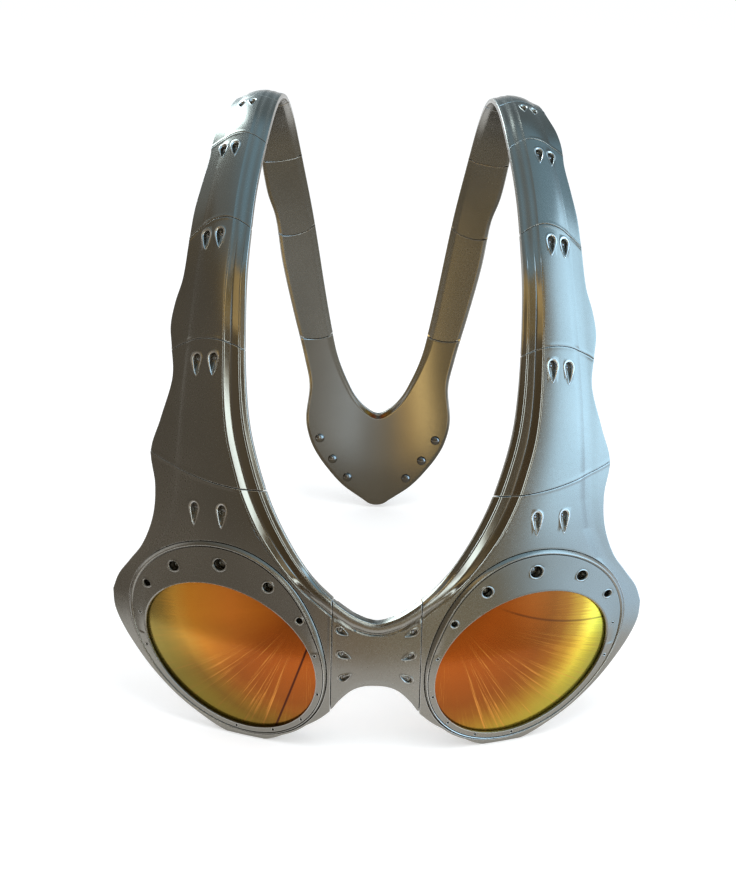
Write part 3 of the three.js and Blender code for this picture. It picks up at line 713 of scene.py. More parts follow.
def remap(tree, value, low, high, to_low=0.0, to_high=1.0):
    """A number moved from one range to another, held at its ends."""
    node = tree.nodes.new("ShaderNodeMapRange")
    node.inputs["From Min"].default_value = low
    node.inputs["From Max"].default_value = high
    node.inputs["To Min"].default_value = to_low
    node.inputs["To Max"].default_value = to_high
    tree.links.new(value, node.inputs["Value"])
    return node.outputs["Result"]


def math(tree, a, b, operation="MULTIPLY"):
    """Two numbers, sockets or constants, put together by an operation."""
    node = tree.nodes.new("ShaderNodeMath")
    node.operation = operation
    for socket, value in zip(node.inputs, (a, b)):
        if isinstance(value, (int, float)):
            socket.default_value = value
        else:
            tree.links.new(value, socket)
    return node.outputs["Value"]


def satin_grain():
    """Fine grain: a small noise and a smaller one, as a height and as a tone."""
    tree, inside, outside = node_group(
        "satin grain", [("Place", "NodeSocketVector"), ("Scale", "NodeSocketFloat")], ["Height", "Tone"]
    )
    coarse = noise(tree, inside.outputs["Place"], inside.outputs["Scale"], 4.0, 0.6)
    fine = noise(tree, inside.outputs["Place"], math(tree, inside.outputs["Scale"], 3.1), 2.0)
    height = math(tree, coarse, fine, "ADD")
    tree.links.new(math(tree, height, 0.5), outside.inputs["Height"])
    tree.links.new(remap(tree, coarse, 0.3, 0.7), outside.inputs["Tone"])
    return tree


def handled_clouds():
    """Slow clouds: one large noise stretched to the full range."""
    tree, inside, outside = node_group(
        "handled clouds", [("Place", "NodeSocketVector"), ("Scale", "NodeSocketFloat")], ["Tone"]
    )
    cloud = noise(tree, inside.outputs["Place"], inside.outputs["Scale"], 3.0, 0.5)
    tree.links.new(remap(tree, cloud, 0.32, 0.68), outside.inputs["Tone"])
    return tree


def worn_edges_and_shade():
    """Rubbed edges on outward bends of the mesh, broken up by a noise; painted shade in hollows, by inward
    bends.
    """
    tree, inside, outside = node_group(
        "worn edges and painted shade", [("Place", "NodeSocketVector"), ("Bend", "NodeSocketFloat")], ["Worn", "Painted shade"]
    )
    sharp = remap(tree, inside.outputs["Bend"], 0.9, 3.0)
    broken = remap(tree, noise(tree, inside.outputs["Place"], 120.0, 3.0), 0.3, 0.7, 0.55, 1.0)
    tree.links.new(math(tree, sharp, broken), outside.inputs["Worn"])
    tree.links.new(remap(tree, inside.outputs["Bend"], -0.5, -2.5), outside.inputs["Painted shade"])
    return tree


GRAIN = satin_grain()
CLOUDS = handled_clouds()
WORN_AND_SHADE = worn_edges_and_shade()
print("node groups:", [group.name for group in (GRAIN, CLOUDS, WORN_AND_SHADE)])

# %% [markdown]
# ## The metal finishes
# The frame is satin pewter: a grey metal, blasted fine and then rubbed bright on the edges. The links
# and pins are darker, smoother steel. All three are one recipe with other colours: a metallic shader
# whose colour, roughness and bump take the three shared masks. Its colour also holds painted shade in
# the hollows and, on pieces that carry it, a painted highlight round the drop windows.

# %% Metals


def blank_material(name):
    """A material with a Principled shader; gives its node tree, the shader and Object coordinates."""
    material = bpy.data.materials.new(name)
    material.use_nodes = True
    tree = material.node_tree
    place_node = tree.nodes.new("ShaderNodeTexCoord")
    return material, tree, tree.nodes["Principled BSDF"], place_node.outputs["Object"]


def grouped(tree, group, **sockets):
    """A node group placed in a material, with its inputs set or linked by name."""
    node = tree.nodes.new("ShaderNodeGroup")
    node.node_tree = group
    for label, value in sockets.items():
        if isinstance(value, (int, float)):
            node.inputs[label].default_value = value
        else:
            tree.links.new(value, node.inputs[label])
    return node.outputs


def attribute(tree, name, output):
    """A piece's own attribute by name."""
    node = tree.nodes.new("ShaderNodeAttribute")
    node.attribute_name = name
    return node.outputs[output]


def blended(tree, share, a, b):
    """Two colours, sockets or constants, mixed by a share."""
    node = tree.nodes.new("ShaderNodeMix")
    node.data_type = "RGBA"
    tree.links.new(share, node.inputs["Factor"])
    for socket, colour in ((node.inputs[6], a), (node.inputs[7], b)):
        if isinstance(colour, tuple):
            socket.default_value = (*colour, 1)
        else:
            tree.links.new(colour, socket)
    return node.outputs[2]


def bumped(tree, height, strength, distance):
    """A bump from a height, in metres."""
    node = tree.nodes.new("ShaderNodeBump")
    node.inputs["Strength"].default_value = strength
    node.inputs["Distance"].default_value = distance
    tree.links.new(height, node.inputs["Height"])
    return node.outputs["Normal"]


def metal(name, dark, light, bright, smooth, rough):
    """Metal whose tone drifts from dark to light, with bright rubbed edges, painted highlights and painted
    shade in hollows.
    """
    material, tree, shader, spot = blank_material(name)
    grain = grouped(tree, GRAIN, Place=spot, Scale=900.0)
    clouds = grouped(tree, CLOUDS, Place=spot, Scale=26.0)
    worn = grouped(tree, WORN_AND_SHADE, Place=spot, Bend=attribute(tree, "bend", "Fac"))
    tone = blended(tree, clouds["Tone"], dark, light)
    # Painted shade: in hollows the colour darkens towards 0.35 times the dark tone.
    shaded = blended(tree, math(tree, worn["Painted shade"], 0.55), tone, tuple(0.35 * part for part in dark))
    # Rubbed edges and the painted highlight round drop rims both take the bright colour.
    edges = math(tree, worn["Worn"], attribute(tree, "painted_highlight", "Fac"), "MAXIMUM")
    tree.links.new(blended(tree, edges, shaded, bright), shader.inputs["Base Color"])
    rough_tone = math(tree, math(tree, grain["Tone"], 0.6), math(tree, clouds["Tone"], 0.4), "ADD")
    satin = remap(tree, rough_tone, 0.0, 1.0, smooth, rough)
    sheen = remap(tree, attribute(tree, "polish", "Fac"), 0.0, 1.0, 1.0, 0.5)
    tree.links.new(math(tree, satin, sheen), shader.inputs["Roughness"])
    tree.links.new(bumped(tree, grain["Height"], 0.05, 0.0001), shader.inputs["Normal"])
    shader.inputs["Metallic"].default_value = 1.0
    return material


pewter = metal("satin_pewter", (0.215, 0.205, 0.18), (0.265, 0.25, 0.22), (0.6, 0.59, 0.56), 0.22, 0.3)
steel = metal("spring_leaf_steel", (0.20, 0.20, 0.21), (0.28, 0.28, 0.29), (0.55, 0.55, 0.56), 0.18, 0.3)
pin_steel = metal("pin_steel", (0.17, 0.165, 0.155), (0.24, 0.235, 0.22), (0.42, 0.41, 0.4), 0.15, 0.24)
print("metals:", pewter.name, steel.name, pin_steel.name)

# %% [markdown]
# ## The mirrored lenses
# Each lens is a tinted disc with a mirror coat that runs from red through orange and yellow to olive
# green, with fine rays that spread from the inner upper corner like an open fan. A picture could hold
# that pattern, but a formula does it better: the mesh carries the angle and the distance from the fan's
# middle, and the colours and rays are functions of those two numbers. It carries the side too, because
# the left lens has painted light above, in other colours, and painted shade below. It has a straight
# scratch, and the right one an arc.

# %% Lens finish
FAN_ALONG = 43.5
FAN_ACROSS = 18.5
# The scratch: shares of up and out in the distance from its line, how far the line is off, its half width.
SCRATCH_UP = 0.307
SCRATCH_OUT = 0.952
SCRATCH_OFF = 3.82
SCRATCH_HALF = 0.4
# The arc: its height is a start plus a slope times out plus a bend times out squared.
ARC_START = 8.245
ARC_SLOPE = -0.7475
ARC_BEND = 0.00761
ARC_HALF = 0.45
# The rays: noise that runs fast round the fan and slowly outwards.
RAYS_ROUND = 30.0
RAYS_OUT = 0.008
RAY_COLOUR = (0.7, 0.28, 0.05)
# Painted shade on the lower part of the left lens.
LEFT_PAINTED_SHADE = (0.05, 0.016, 0.001)
SCRATCH_COLOUR = (0.05, 0.008, 0.003)
# Colour stops by the share of the way across, for the upper part, the lower part, and the painted light on
# the upper part of the left lens.
LENS_SPAN = (8.0, 52.0)
LENS_UPPER = [
    (0.0, (0.40, 0.09, 0.006)), (0.14, (0.46, 0.10, 0.008)), (0.36, (0.40, 0.095, 0.009)),
    (0.5, (0.28, 0.075, 0.007)), (0.6, (0.34, 0.11, 0.01)), (0.7, (0.55, 0.27, 0.024)),
    (0.76, (0.92, 0.58, 0.055)), (0.8, (0.97, 0.76, 0.07)), (0.85, (0.62, 0.5, 0.045)),
    (0.89, (0.4, 0.34, 0.04)), (0.95, (0.26, 0.24, 0.04)), (1.0, (0.12, 0.12, 0.035)),
]
LENS_LOWER = [
    (0.0, (0.40, 0.09, 0.006)), (0.14, (0.44, 0.095, 0.008)), (0.36, (0.33, 0.078, 0.008)),
    (0.5, (0.28, 0.072, 0.008)), (0.6, (0.30, 0.1, 0.011)), (0.7, (0.38, 0.19, 0.02)),
    (0.79, (0.42, 0.28, 0.03)), (0.88, (0.4, 0.32, 0.035)), (0.96, (0.34, 0.3, 0.04)),
    (1.0, (0.08, 0.08, 0.024)),
]
LENS_LEFT_PAINTED_LIGHT = [
    (0.0, (0.6, 0.15, 0.012)), (0.14, (0.7, 0.2, 0.018)), (0.32, (0.9, 0.28, 0.034)),
    (0.58, (0.9, 0.35, 0.035)), (0.68, (0.84, 0.42, 0.06)), (0.78, (0.42, 0.26, 0.05)),
    (0.86, (0.3, 0.21, 0.05)), (0.95, (0.36, 0.27, 0.07)), (1.0, (0.12, 0.12, 0.035)),
]


def fan_place(points, side):
    """Angle round the fan's middle in radians, distance from it in millimetres, and the side."""
    up, out = points[:, 0] - FAN_ALONG, points[:, 1] - FAN_ACROSS
    return np.column_stack([np.arctan2(up, out), np.hypot(up, out), np.full(len(up), side)])


def ramp(tree, value, stops):
    """A colour ramp through (place, colour) stops."""
    node = tree.nodes.new("ShaderNodeValToRGB")
    elements = node.color_ramp.elements
    while len(elements) < len(stops):
        elements.new(0.5)
    for element, (spot, colour) in zip(elements, stops):
        element.position = spot
        element.color = (*colour, 1)
    tree.links.new(value, node.inputs["Fac"])
    return node.outputs["Color"]


def hairline(tree, away, half):
    """A thin line: one where a distance is zero, none at half a width from it."""
    return remap(tree, math(tree, away, away), 0.0, half * half, 1.0, 0.0)


def mirror_coat(name, upper, lower, left_painted_light):
    """Colour by distance from the fan's middle, paler above than below, broken into rays by noise; painted
    light and shade on the left lens.
    """
    material, tree, shader, _ = blank_material(name)
    parts = tree.nodes.new("ShaderNodeSeparateXYZ")
    tree.links.new(attribute(tree, "fan", "Vector"), parts.inputs["Vector"])
    angle, reach, side = parts.outputs["X"], parts.outputs["Y"], parts.outputs["Z"]
    up = math(tree, reach, math(tree, angle, 0.0, "SINE"))
    out = math(tree, reach, math(tree, angle, 0.0, "COSINE"))
    ray_place = tree.nodes.new("ShaderNodeCombineXYZ")
    tree.links.new(math(tree, angle, RAYS_ROUND), ray_place.inputs["X"])
    tree.links.new(math(tree, reach, RAYS_OUT), ray_place.inputs["Y"])
    rays = noise(tree, ray_place.outputs["Vector"], 2.4, 5.0, 0.75)
    shifted_reach = math(tree, reach, remap(tree, rays, 0.3, 0.7, -1.6, 1.6), "ADD")
    way = remap(tree, shifted_reach, *LENS_SPAN)
    high = remap(tree, angle, -0.85, -0.25)
    left = remap(tree, side, 0.0, -1.0)
    # On the left lens the upper part takes other colours, which are painted light.
    above = blended(tree, left, ramp(tree, way, upper), ramp(tree, way, left_painted_light))
    colour = blended(tree, high, ramp(tree, way, lower), above)
    strong = remap(tree, reach, 8.0, 18.0, 0.0, 0.8)
    strong = math(tree, strong, remap(tree, angle, -0.3, -0.8, 0.15, 1.0))
    bright = math(tree, remap(tree, rays, 0.57, 0.62), strong)
    colour = blended(tree, bright, colour, RAY_COLOUR)
    # Painted shade: the lower part of the left lens darkens towards its shade colour.
    painted_shade = math(tree, left, remap(tree, angle, -0.3, -0.7))
    painted_shade = math(tree, painted_shade, remap(tree, reach, 33.0, 40.0, 0.0, 0.6))
    colour = blended(tree, painted_shade, colour, LEFT_PAINTED_SHADE)
    # A straight scratch on the left lens, and an arc on the right one.
    straight = math(tree, math(tree, up, SCRATCH_UP), math(tree, out, SCRATCH_OUT), "ADD")
    scratch = hairline(tree, math(tree, straight, SCRATCH_OFF, "ADD"), SCRATCH_HALF)
    scratch = math(tree, scratch, left)
    curve = math(tree, out, math(tree, out, ARC_BEND))
    curve = math(tree, curve, math(tree, out, ARC_SLOPE), "ADD")
    away = math(tree, math(tree, up, curve, "SUBTRACT"), -ARC_START, "ADD")
    arc = math(tree, hairline(tree, away, ARC_HALF), remap(tree, side, 0.0, 1.0))
    arc = math(tree, arc, remap(tree, out, 14.0, 20.0, 0.0, 0.55))
    colour = blended(tree, math(tree, scratch, arc, "MAXIMUM"), colour, SCRATCH_COLOUR)
    tree.links.new(colour, shader.inputs["Base Color"])
    shader.inputs["Metallic"].default_value = 0.85
    shader.inputs["Roughness"].default_value = 0.2
    shader.inputs["Coat Weight"].default_value = 0.06
    shader.inputs["Coat Roughness"].default_value = 0.05
    return material


mirror = mirror_coat("mirror_coat", LENS_UPPER, LENS_LOWER, LENS_LEFT_PAINTED_LIGHT)
print("lens stops:", len(LENS_UPPER), len(LENS_LOWER), len(LENS_LEFT_PAINTED_LIGHT))

# %% [markdown]
# ## Rubber
# The nose pads are soft black rubber with a fine moulded grain: a dielectric shader, rough, with the
# same grain group at a larger scale.

# %% Rubber


def moulded_rubber(name):
    """Dark rubber: the grain as bump and roughness, the clouds as a faint bloom."""
    material, tree, shader, spot = blank_material(name)
    grain = grouped(tree, GRAIN, Place=spot, Scale=1500.0)
    clouds = grouped(tree, CLOUDS, Place=spot, Scale=80.0)
    tone = blended(tree, clouds["Tone"], (0.014, 0.014, 0.015), (0.03, 0.03, 0.031))
    tree.links.new(tone, shader.inputs["Base Color"])
    tree.links.new(remap(tree, grain["Tone"], 0.0, 1.0, 0.55, 0.8), shader.inputs["Roughness"])
    tree.links.new(bumped(tree, grain["Height"], 0.3, 0.0001), shader.inputs["Normal"])
    return material


rubber = moulded_rubber("nose_rubber")
print("rubber:", rubber.name)

# %% [markdown]
# ## The arms
# An arm segment is a bent strip of sheet between two seams. Its grid runs from seam to seam, with
# columns packed closely over the rail so that the grooves stay crisp. Two drop-shaped windows near the
# far seam show the heads of the pegs that hold the spring leaf. They are cut as rings of points from a
# block of the grid to the outline of the drop, which keeps the mesh closed without a boolean.

# %% Arm segments
ARM_ROWS = 64
ARM_COLUMNS = (30, 16, 8)
# Rows beside a seam, in mm from it, and columns of the rail zone: its marks and the steps between.
END_ROWS = np.array([0.0, 0.12, 0.25, 0.4, 0.6, 0.9])
RAIL_MARKS = (1.1, *(place_at for place_at, _ in STAIR[:0:-1]), 0.036)
RAIL_STEPS = (2, 1, 1, 1, 6, 1, 1, 1, 7, 1, 1, 1, 5)
TONGUE = 0.8
RECESS = 0.9
TONGUE_SHARE = 0.9
RECESS_SHARE = 0.79
# The first seam is a little wider at the rail, where the arch swings down on the lens plate.
PLATE_EASE = 0.09
PEG_SPREAD = 0.115
PEG_RADIUS = 0.62
DROP_RADIUS = 1.1
DROP_LENGTH = 6.5
DROP_DEPTH = 1.4
# Room in the grid before, behind and beside a drop, and how far its lip may spread into that room.
ROOM_BEFORE = 1.5
ROOM_BEHIND = 1.2
ROOM_BESIDE = 0.75
BESIDE_SHARE = 0.85
PLAIN_LIP = 0.53
BROADEST_LIP = 1.35
CREASE_ROOM = 1.6
TONGUE_INSET = 0.3
TONGUE_FADE = 1.6
LEAF_REACH = 4.0
LEAF_SPARE = 1.5
LEAF_PLAY = 0.4
# The painted highlight round a drop's rim: its reach into and out of the outline, its fade, and the least
# lift.
HIGHLIGHT_IN = 0.2
HIGHLIGHT_OUT = 0.35
HIGHLIGHT_FADE = 0.3
HIGHLIGHT_LIFT = 0.6


def spread(marks, counts):
    """Columns between marks: each zone of every row is split into its own number of equal steps."""
    zones = [
        mix(marks[:, z : z + 1], marks[:, z + 1 : z + 2], np.linspace(0, 1, count, endpoint=False))
        for z, count in enumerate(counts)
    ]
    return np.hstack([*zones, marks[:, -1:]])


RAIL_SHARES = spread(np.array([RAIL_MARKS]), RAIL_STEPS)[0]


def link_spot(k):
    """Where the pegs of link k stand, how large their drops are, and how the leaf drifts outwards."""
    pegs, share = SEAMS[k][3:]
    seam = seam_along(k, share)
    along = seam - pegs
    width = outer_at(along) - inner_at(along)
    middle = mix(inner_at(along), outer_at(along), share)
    half = PEG_SPREAD * width
    size = min(1, 0.6 + width / 50)
    drift = (mix(inner_at(seam), outer_at(seam), share) - middle) / pegs
    return {
        "seam": seam, "along": along, "middle": middle, "half": half, "drift": drift, "size": size,
        "radius": DROP_RADIUS * size, "length": DROP_LENGTH * size,
        "places": [(along, middle - half), (along, middle + half)],
    }


def arm_flat(k, start_shift, end_shift):
    """Grid of an arm segment between seams k - 1 and k: along, across, rail share, way to a seam."""
    ends = END_ROWS / (seam_along(k, 0.5) - seam_along(k - 1, 0.5))
    inside = np.linspace(ends[-1], 1 - ends[-1], ARM_ROWS)[1:-1]
    way = np.concatenate([ends, inside, 1 - ends[::-1]])[:, None]
    nominal = mix(seam_along(k - 1, 0.5), seam_along(k, 0.5), way)
    inner = inner_at(nominal)
    width = outer_at(nominal) - inner
    crease = by_plan(CREASE_PLAN, nominal) - inner
    rail = RAIL_SHARES[::-1] * rail_zone(nominal)
    before = np.minimum(crease - CREASE_ROOM, width - 4)
    behind = np.minimum(crease + CREASE_ROOM, width - 0.6)
    marks = np.hstack([rail[:, -1:], before, behind, width - EDGE])
    steps = np.hstack([rail[:, :-1], spread(marks, ARM_COLUMNS)])
    t = steps / width
    eased = PLATE_EASE * (1 - t) if k == 1 else 0
    first = seam_along(k - 1, t) + SEAM_GAP / 2 + eased
    last = seam_along(k, t) - SEAM_GAP / 2
    tongue = ease((steps - TONGUE_INSET) / TONGUE_FADE)
    tongue = tongue * ease((width - steps - TONGUE_INSET) / TONGUE_FADE)
    along = mix(first + SEAM_EDGE + start_shift, last - SEAM_EDGE + end_shift * tongue, way)
    across = mix(inner_at(along), outer_at(along), t)
    return along, across, steps / rail_zone(nominal), np.minimum(along - first, last - along)


def leaf_pocket(wall, k):
    """Pocket in an end wall for the free end of link k, between the two leaf rows of the wall."""
    spot = link_spot(k)
    low_row = len(ROUND_TURNS)
    reach = spot["half"] + LEAF_SPARE + LEAF_PLAY
    middle = spot["middle"] + spot["drift"] * (spot["seam"] - spot["along"])
    near = np.abs(wall[low_row, :, 0] - spot["seam"]) < 3
    inside = np.flatnonzero(near & (np.abs(wall[low_row, :, 1] - middle) < reach))
    block = (low_row, low_row + 1, inside.min(), inside.max())
    return block, pocket(wall, block, (LEAF_REACH + LEAF_PLAY, 0, 0))


def drop_windows(grid, k, lift):
    """Blocks and rings of the two drop windows of link k, tails towards the front."""
    spot = link_spot(k)
    radius, length = spot["radius"], spot["length"]
    head, tail = drop_ends(radius, length)
    margin = min(ROOM_BESIDE, BESIDE_SHARE * (spot["half"] - radius))
    broad = min(BROADEST_LIP, margin / PLAIN_LIP)
    blocks, rings = [], []
    for middle in spot["places"]:
        block = opening_block(grid, middle, tail + ROOM_BEFORE, head + ROOM_BEHIND, radius + margin)
        blocks.append(block)
        floor = lift(*np.array(middle)[:, None])[0] - DROP_DEPTH
        rings.append(pierced(grid, block, middle, radius, floor, lift, np.pi, length, broad))
    return blocks, rings


def drop_rim_highlight(k):
    """Gives a function that is 1 on the painted highlight round the rims of link k's drop windows and 0
    elsewhere.
    """
    spot = link_spot(k)

    def painted_highlight(points):
        near = np.zeros(len(points))
        for middle in spot["places"]:
            rays = points[:, :2] - np.array(middle)
            angle = np.arctan2(rays[:, 1], rays[:, 0]) - np.pi
            beyond = np.linalg.norm(rays, axis=-1) - drop_reach(angle, spot["radius"], spot["length"])
            rim = ease((beyond + HIGHLIGHT_IN) / HIGHLIGHT_IN) * (1 - ease((beyond - HIGHLIGHT_OUT) / HIGHLIGHT_FADE))
            near = np.maximum(near, rim)
        return near * (points[:, 2] > HIGHLIGHT_LIFT)

    return painted_highlight


def arm_patches(k):
    """Face, inside, wall, windows and leaf pocket of arm segment k."""
    along, across, share, to_seam = arm_flat(k, 0.0, 0.0)
    top = np.stack([along, across, arm_relief(along, across, share) + ridge(to_seam, share)], axis=-1)
    along, across, _, _ = arm_flat(k, RECESS, TONGUE)
    inside = underside(across - inner_at(along), outer_at(along) - across)
    bottom = np.stack([along, across, inside], axis=-1)
    rows, columns = top.shape[:2]
    lap = mix(RECESS_SHARE, TONGUE_SHARE, border(rows, columns) // columns / (rows - 1))
    wall = plate_wall(top, bottom, SEAM_EDGE, EDGE, lap)
    blocks, rings = drop_windows(top, k, arm_lift)
    slot, slot_patches = leaf_pocket(wall, k - 1)
    return [
        sheet(top, holes=blocks), sheet(bottom), sheet(wall, closed=True, holes=[slot]),
        *rings, *slot_patches,
    ]


made = len(finished)
for word, side in SIDES.items():
    for k in range(1, len(SEAMS)):
        node = f"arm_{word}_{k}"
        gloss, rim_highlights = rail_polish(arm_share), drop_rim_highlight(k)
        finish_piece(node + "_shell", node, arm_patches(k), side, pewter, polish=gloss, painted_highlight=rim_highlights)
report("arm segments", made)

# %% [markdown]
# ## Spring links
# Under every seam lies a thin leaf of spring steel. Two pegs fix it to the piece in front of the seam,
# and its free end slides in a pocket behind the seam. What shows is the round head of each peg at the
# bottom of its drop window.

# %% Links
LEAF_LIFT = -0.35
LEAF_HALF = 0.3
LEAF_EDGE = 0.12
LEAF_BEHIND = 1.6
PEG_TOP = 1.1
PEG_CROWN = 0.45
# Share of the wall at which an edge without a lap has its idle step.
PLAIN_LAP = 0.9


def leaf_grid(k, lift):
    """A strip from behind the pegs to past the seam, rounded in plan by drawing in its end rows."""
    spot = link_spot(k)
    way = np.linspace(0, 1, 17)[:, None]
    along = mix(spot["along"] - LEAF_BEHIND, spot["seam"] + LEAF_REACH, way)
    drawn_in = np.sqrt(np.clip(1 - np.abs(2 * way - 1) ** 6, 0.4, 1))
    reach = (spot["half"] + LEAF_SPARE - LEAF_EDGE) * drawn_in
    across = spot["middle"] + spot["drift"] * (along - spot["along"]) + reach * np.linspace(-1, 1, 13)
    return np.stack([np.broadcast_to(along, across.shape), across, np.full(across.shape, lift)], axis=-1)


def link_patches(k):
    """Leaf and two domed pegs of link k."""
    spot = link_spot(k)
    top, bottom = leaf_grid(k, LEAF_LIFT + LEAF_HALF), leaf_grid(k, LEAF_LIFT - LEAF_HALF)
    wall = plate_wall(top, bottom, LEAF_EDGE, LEAF_EDGE, PLAIN_LAP)
    patches = [sheet(top), sheet(bottom), sheet(wall, closed=True)]
    stations = domed(PEG_RADIUS * spot["size"] ** 0.5, LEAF_LIFT, PEG_TOP, PEG_CROWN)
    patches += [revolved(middle, stations) for middle in spot["places"]]
    return patches


made = len(finished)
for word, side in SIDES.items():
    for k in range(len(SEAMS)):
        node = f"link_{word}_{k + 1}"
        finish_piece(node + "_leaf", node, link_patches(k), side, steel)
report("links", made)

# %% [markdown]
# ## The lens plates
# The orbital plates carry the lenses. Each is a ring between the lens pocket and a free outline that
# follows the lower edge, the outer edge, the first seam, the inner edge and the bridge. So its grid goes
# round the lens, one closed section for each ray. Rays towards the inner edge end in a row across the
# rail, with a point on each break of the stair, so the grooves stay clean lines. At both ends of the rail
# a few rays share that last row and stop at one point of it each: they make the end walls.

# %% Lens plates
LENS_ALONG = 24.5
LENS_LONG = 25.0
LENS_SHORT = 20.5
LENS_TILT = np.radians(28.5)
RING_NARROW = 2.4
RING_WIDE = 13.0
RING_PEAK = np.radians(83)
PLAY = 0.3
BEZEL_GAP = 0.14
NOSE_RIM = 1.35
LEDGE_TOP = -0.9
LENS_REACH = np.hypot(LENS_LONG * np.cos(LENS_TILT), LENS_SHORT * np.sin(LENS_TILT))
LENS_ACROSS = BRIDGE_HALF + NOSE_RIM + PLAY + RING_NARROW + LENS_REACH
OUTLINE_STEP = 0.6
FINE_STEP = 0.24
FACE_STATIONS = 44
FACE_SHARE = 0.6
UNDER_STATIONS = 16
TO_SEAM = (1.0, 0.0)
TO_BRIDGE = (0.0, -1.0)
# The tongue at the first seam is thin, and lies deeper behind the rail, where the plate is low.
PLATE_TONGUE = 0.97
TONGUE_SINK = 0.4
POCKET_EDGE = 0.15
POCKET_STATIONS = 3
# Step of the rows across the rail, and the lengths in which they turn to the seam and the bridge.
RAIL_STEP = 0.5
SEAM_BLEND = 6
BRIDGE_BLEND = 5
RIM_SHARES = 1 - (1 - np.linspace(0, 1, len(RAIL_SHARES))) ** 1.6


def lens_radius(turn):
    """Radius of the tilted lens ellipse at a turn round its middle."""
    away = turn - LENS_TILT
    return 1 / np.hypot(np.cos(away) / LENS_LONG, np.sin(away) / LENS_SHORT)


def ring_width(turn):
    """Width of the bezel: narrow, with one broad swelling over the top of the lens."""
    return RING_NARROW + (RING_WIDE - RING_NARROW) * ((1 + np.cos(turn - RING_PEAK)) / 2) ** 3.2


def polar(turn, radius):
    """Template place at a turn and radius round the lens middle."""
    return LENS_ALONG + radius * np.sin(turn), LENS_ACROSS + radius * np.cos(turn)


def resampled(line, step):
    """Points a step apart along a line, without its last point."""
    lengths = run_lengths(line)
    count = max(2, int(round(lengths[-1] / step)))
    target = np.linspace(0, lengths[-1], count, endpoint=False)
    return np.column_stack([np.interp(target, lengths, line[:, c]) for c in (0, 1)])


def rail_rows():
    """Rows across the rail from the first seam to the bridge: places by row and share, and ways out."""
    gap = SEAM_GAP / 2 + SEAM_EDGE
    side = BRIDGE_HALF + gap
    start = seam_along(0, 0) - gap
    inside = INNER_FRONT[(INNER_FRONT[:, 0] < start - 0.2) & (INNER_FRONT[:, 1] > side + 0.2)]
    path = np.vstack([[start, inner_at(start)], inside[::-1], [high_at(side), side]])
    lengths = run_lengths(path)
    full = lengths[-1]
    count = int((full - 2 * END_ROWS[-1]) / RAIL_STEP)
    middle = np.linspace(END_ROWS[-1], full - END_ROWS[-1], count)[1:-1]
    spots = np.concatenate([END_ROWS, middle, full - END_ROWS[::-1]])
    edge = np.column_stack([np.interp(spots, lengths, path[:, c]) for c in (0, 1)])
    run = unit(np.gradient(edge, axis=0))
    into = np.column_stack([run[:, 1], -run[:, 0]])
    share = RAIL_SHARES[None, :, None]
    rail = by_plan(RAIL_PLAN, edge[:, 0])[:, None, None]
    square = into[:, None] * share * rail
    t = RAIL_SHARES * rail_zone(start) / (outer_at(start) - inner_at(start))
    along = seam_along(0, t) - gap
    by_seam = np.column_stack([along, mix(inner_at(along), outer_at(along), t)]) - edge[0]
    by_bridge = np.column_stack([RAIL_SHARES * rail[-1, 0] / into[-1, 0], 0 * RAIL_SHARES])
    near_seam = 1 - ease(spots / SEAM_BLEND)[:, None, None]
    near_bridge = 1 - ease((full - spots) / BRIDGE_BLEND)[:, None, None]
    rows = edge[:, None] + mix(mix(square, by_seam, near_seam), by_bridge, near_bridge)
    return rows, -into


def lens_wall(turn):
    """Radius of the pocket that takes the bezel."""
    return lens_radius(turn) + ring_width(turn) + BEZEL_GAP


def turn_of(flat):
    """Turn of template places round the lens middle."""
    return np.arctan2(flat[..., 0] - LENS_ALONG, flat[..., 1] - LENS_ACROSS)


def plain_rays(outline, out, edge, full_face):
    """Rays to points of the outline: places of all stations of the face, and turns."""
    ray = outline - [LENS_ALONG, LENS_ACROSS]
    turn = turn_of(outline)
    length = np.linalg.norm(ray, axis=1)
    rim = outline + ray * (np.maximum(lens_wall(turn) + 0.7, length) / length - 1)[:, None]
    last = rim - edge * out
    first = np.column_stack(polar(turn, lens_wall(turn) + POCKET_EDGE))
    split = mix(first, last, full_face[:, None])
    return face_stations(first, split, mix(split[:, None], last[:, None], RIM_SHARES[:, None])), turn


def face_stations(first, split, rest):
    """Stations from the pocket to a split point, closer towards it, then the rest."""
    way = 1 - (1 - np.arange(FACE_STATIONS) / FACE_STATIONS) ** 1.5
    return np.concatenate([mix(first[:, None], split[:, None], way[:, None]), rest], axis=1)


def plate_outline(rows):
    """The outline past the rail: lower and outer edge as one line, first seam, side of the bridge."""
    gap = SEAM_GAP / 2
    side = BRIDGE_HALF + gap
    corner = [low_at(side), side]
    lower = np.vstack([corner, LOWER_LINE[LOWER_LINE[:, 1] > side + 0.2]])
    outer = OUTER_LINE[OUTER_LINE[:, 0] < seam_along(0, 1) - gap - 0.2]
    t = np.linspace(1, 0, 241)
    along = seam_along(0, t) - gap
    seam = np.column_stack([along, mix(inner_at(along), outer_at(along), t)])
    seam = np.vstack([seam[seam[:, 1] > rows[0, 0, 1] + 0.1], rows[0, :1] + [SEAM_EDGE, 0]])
    outer = np.vstack([outer, seam[:1]])
    rim = np.vstack([resampled(lower, OUTLINE_STEP), resampled(outer, OUTLINE_STEP)])
    bridge = np.vstack([rows[-1, :1] - [0, SEAM_EDGE], [corner]])
    return rim, np.vstack([resampled(seam, FINE_STEP), seam[-1:]]), resampled(bridge, OUTLINE_STEP)


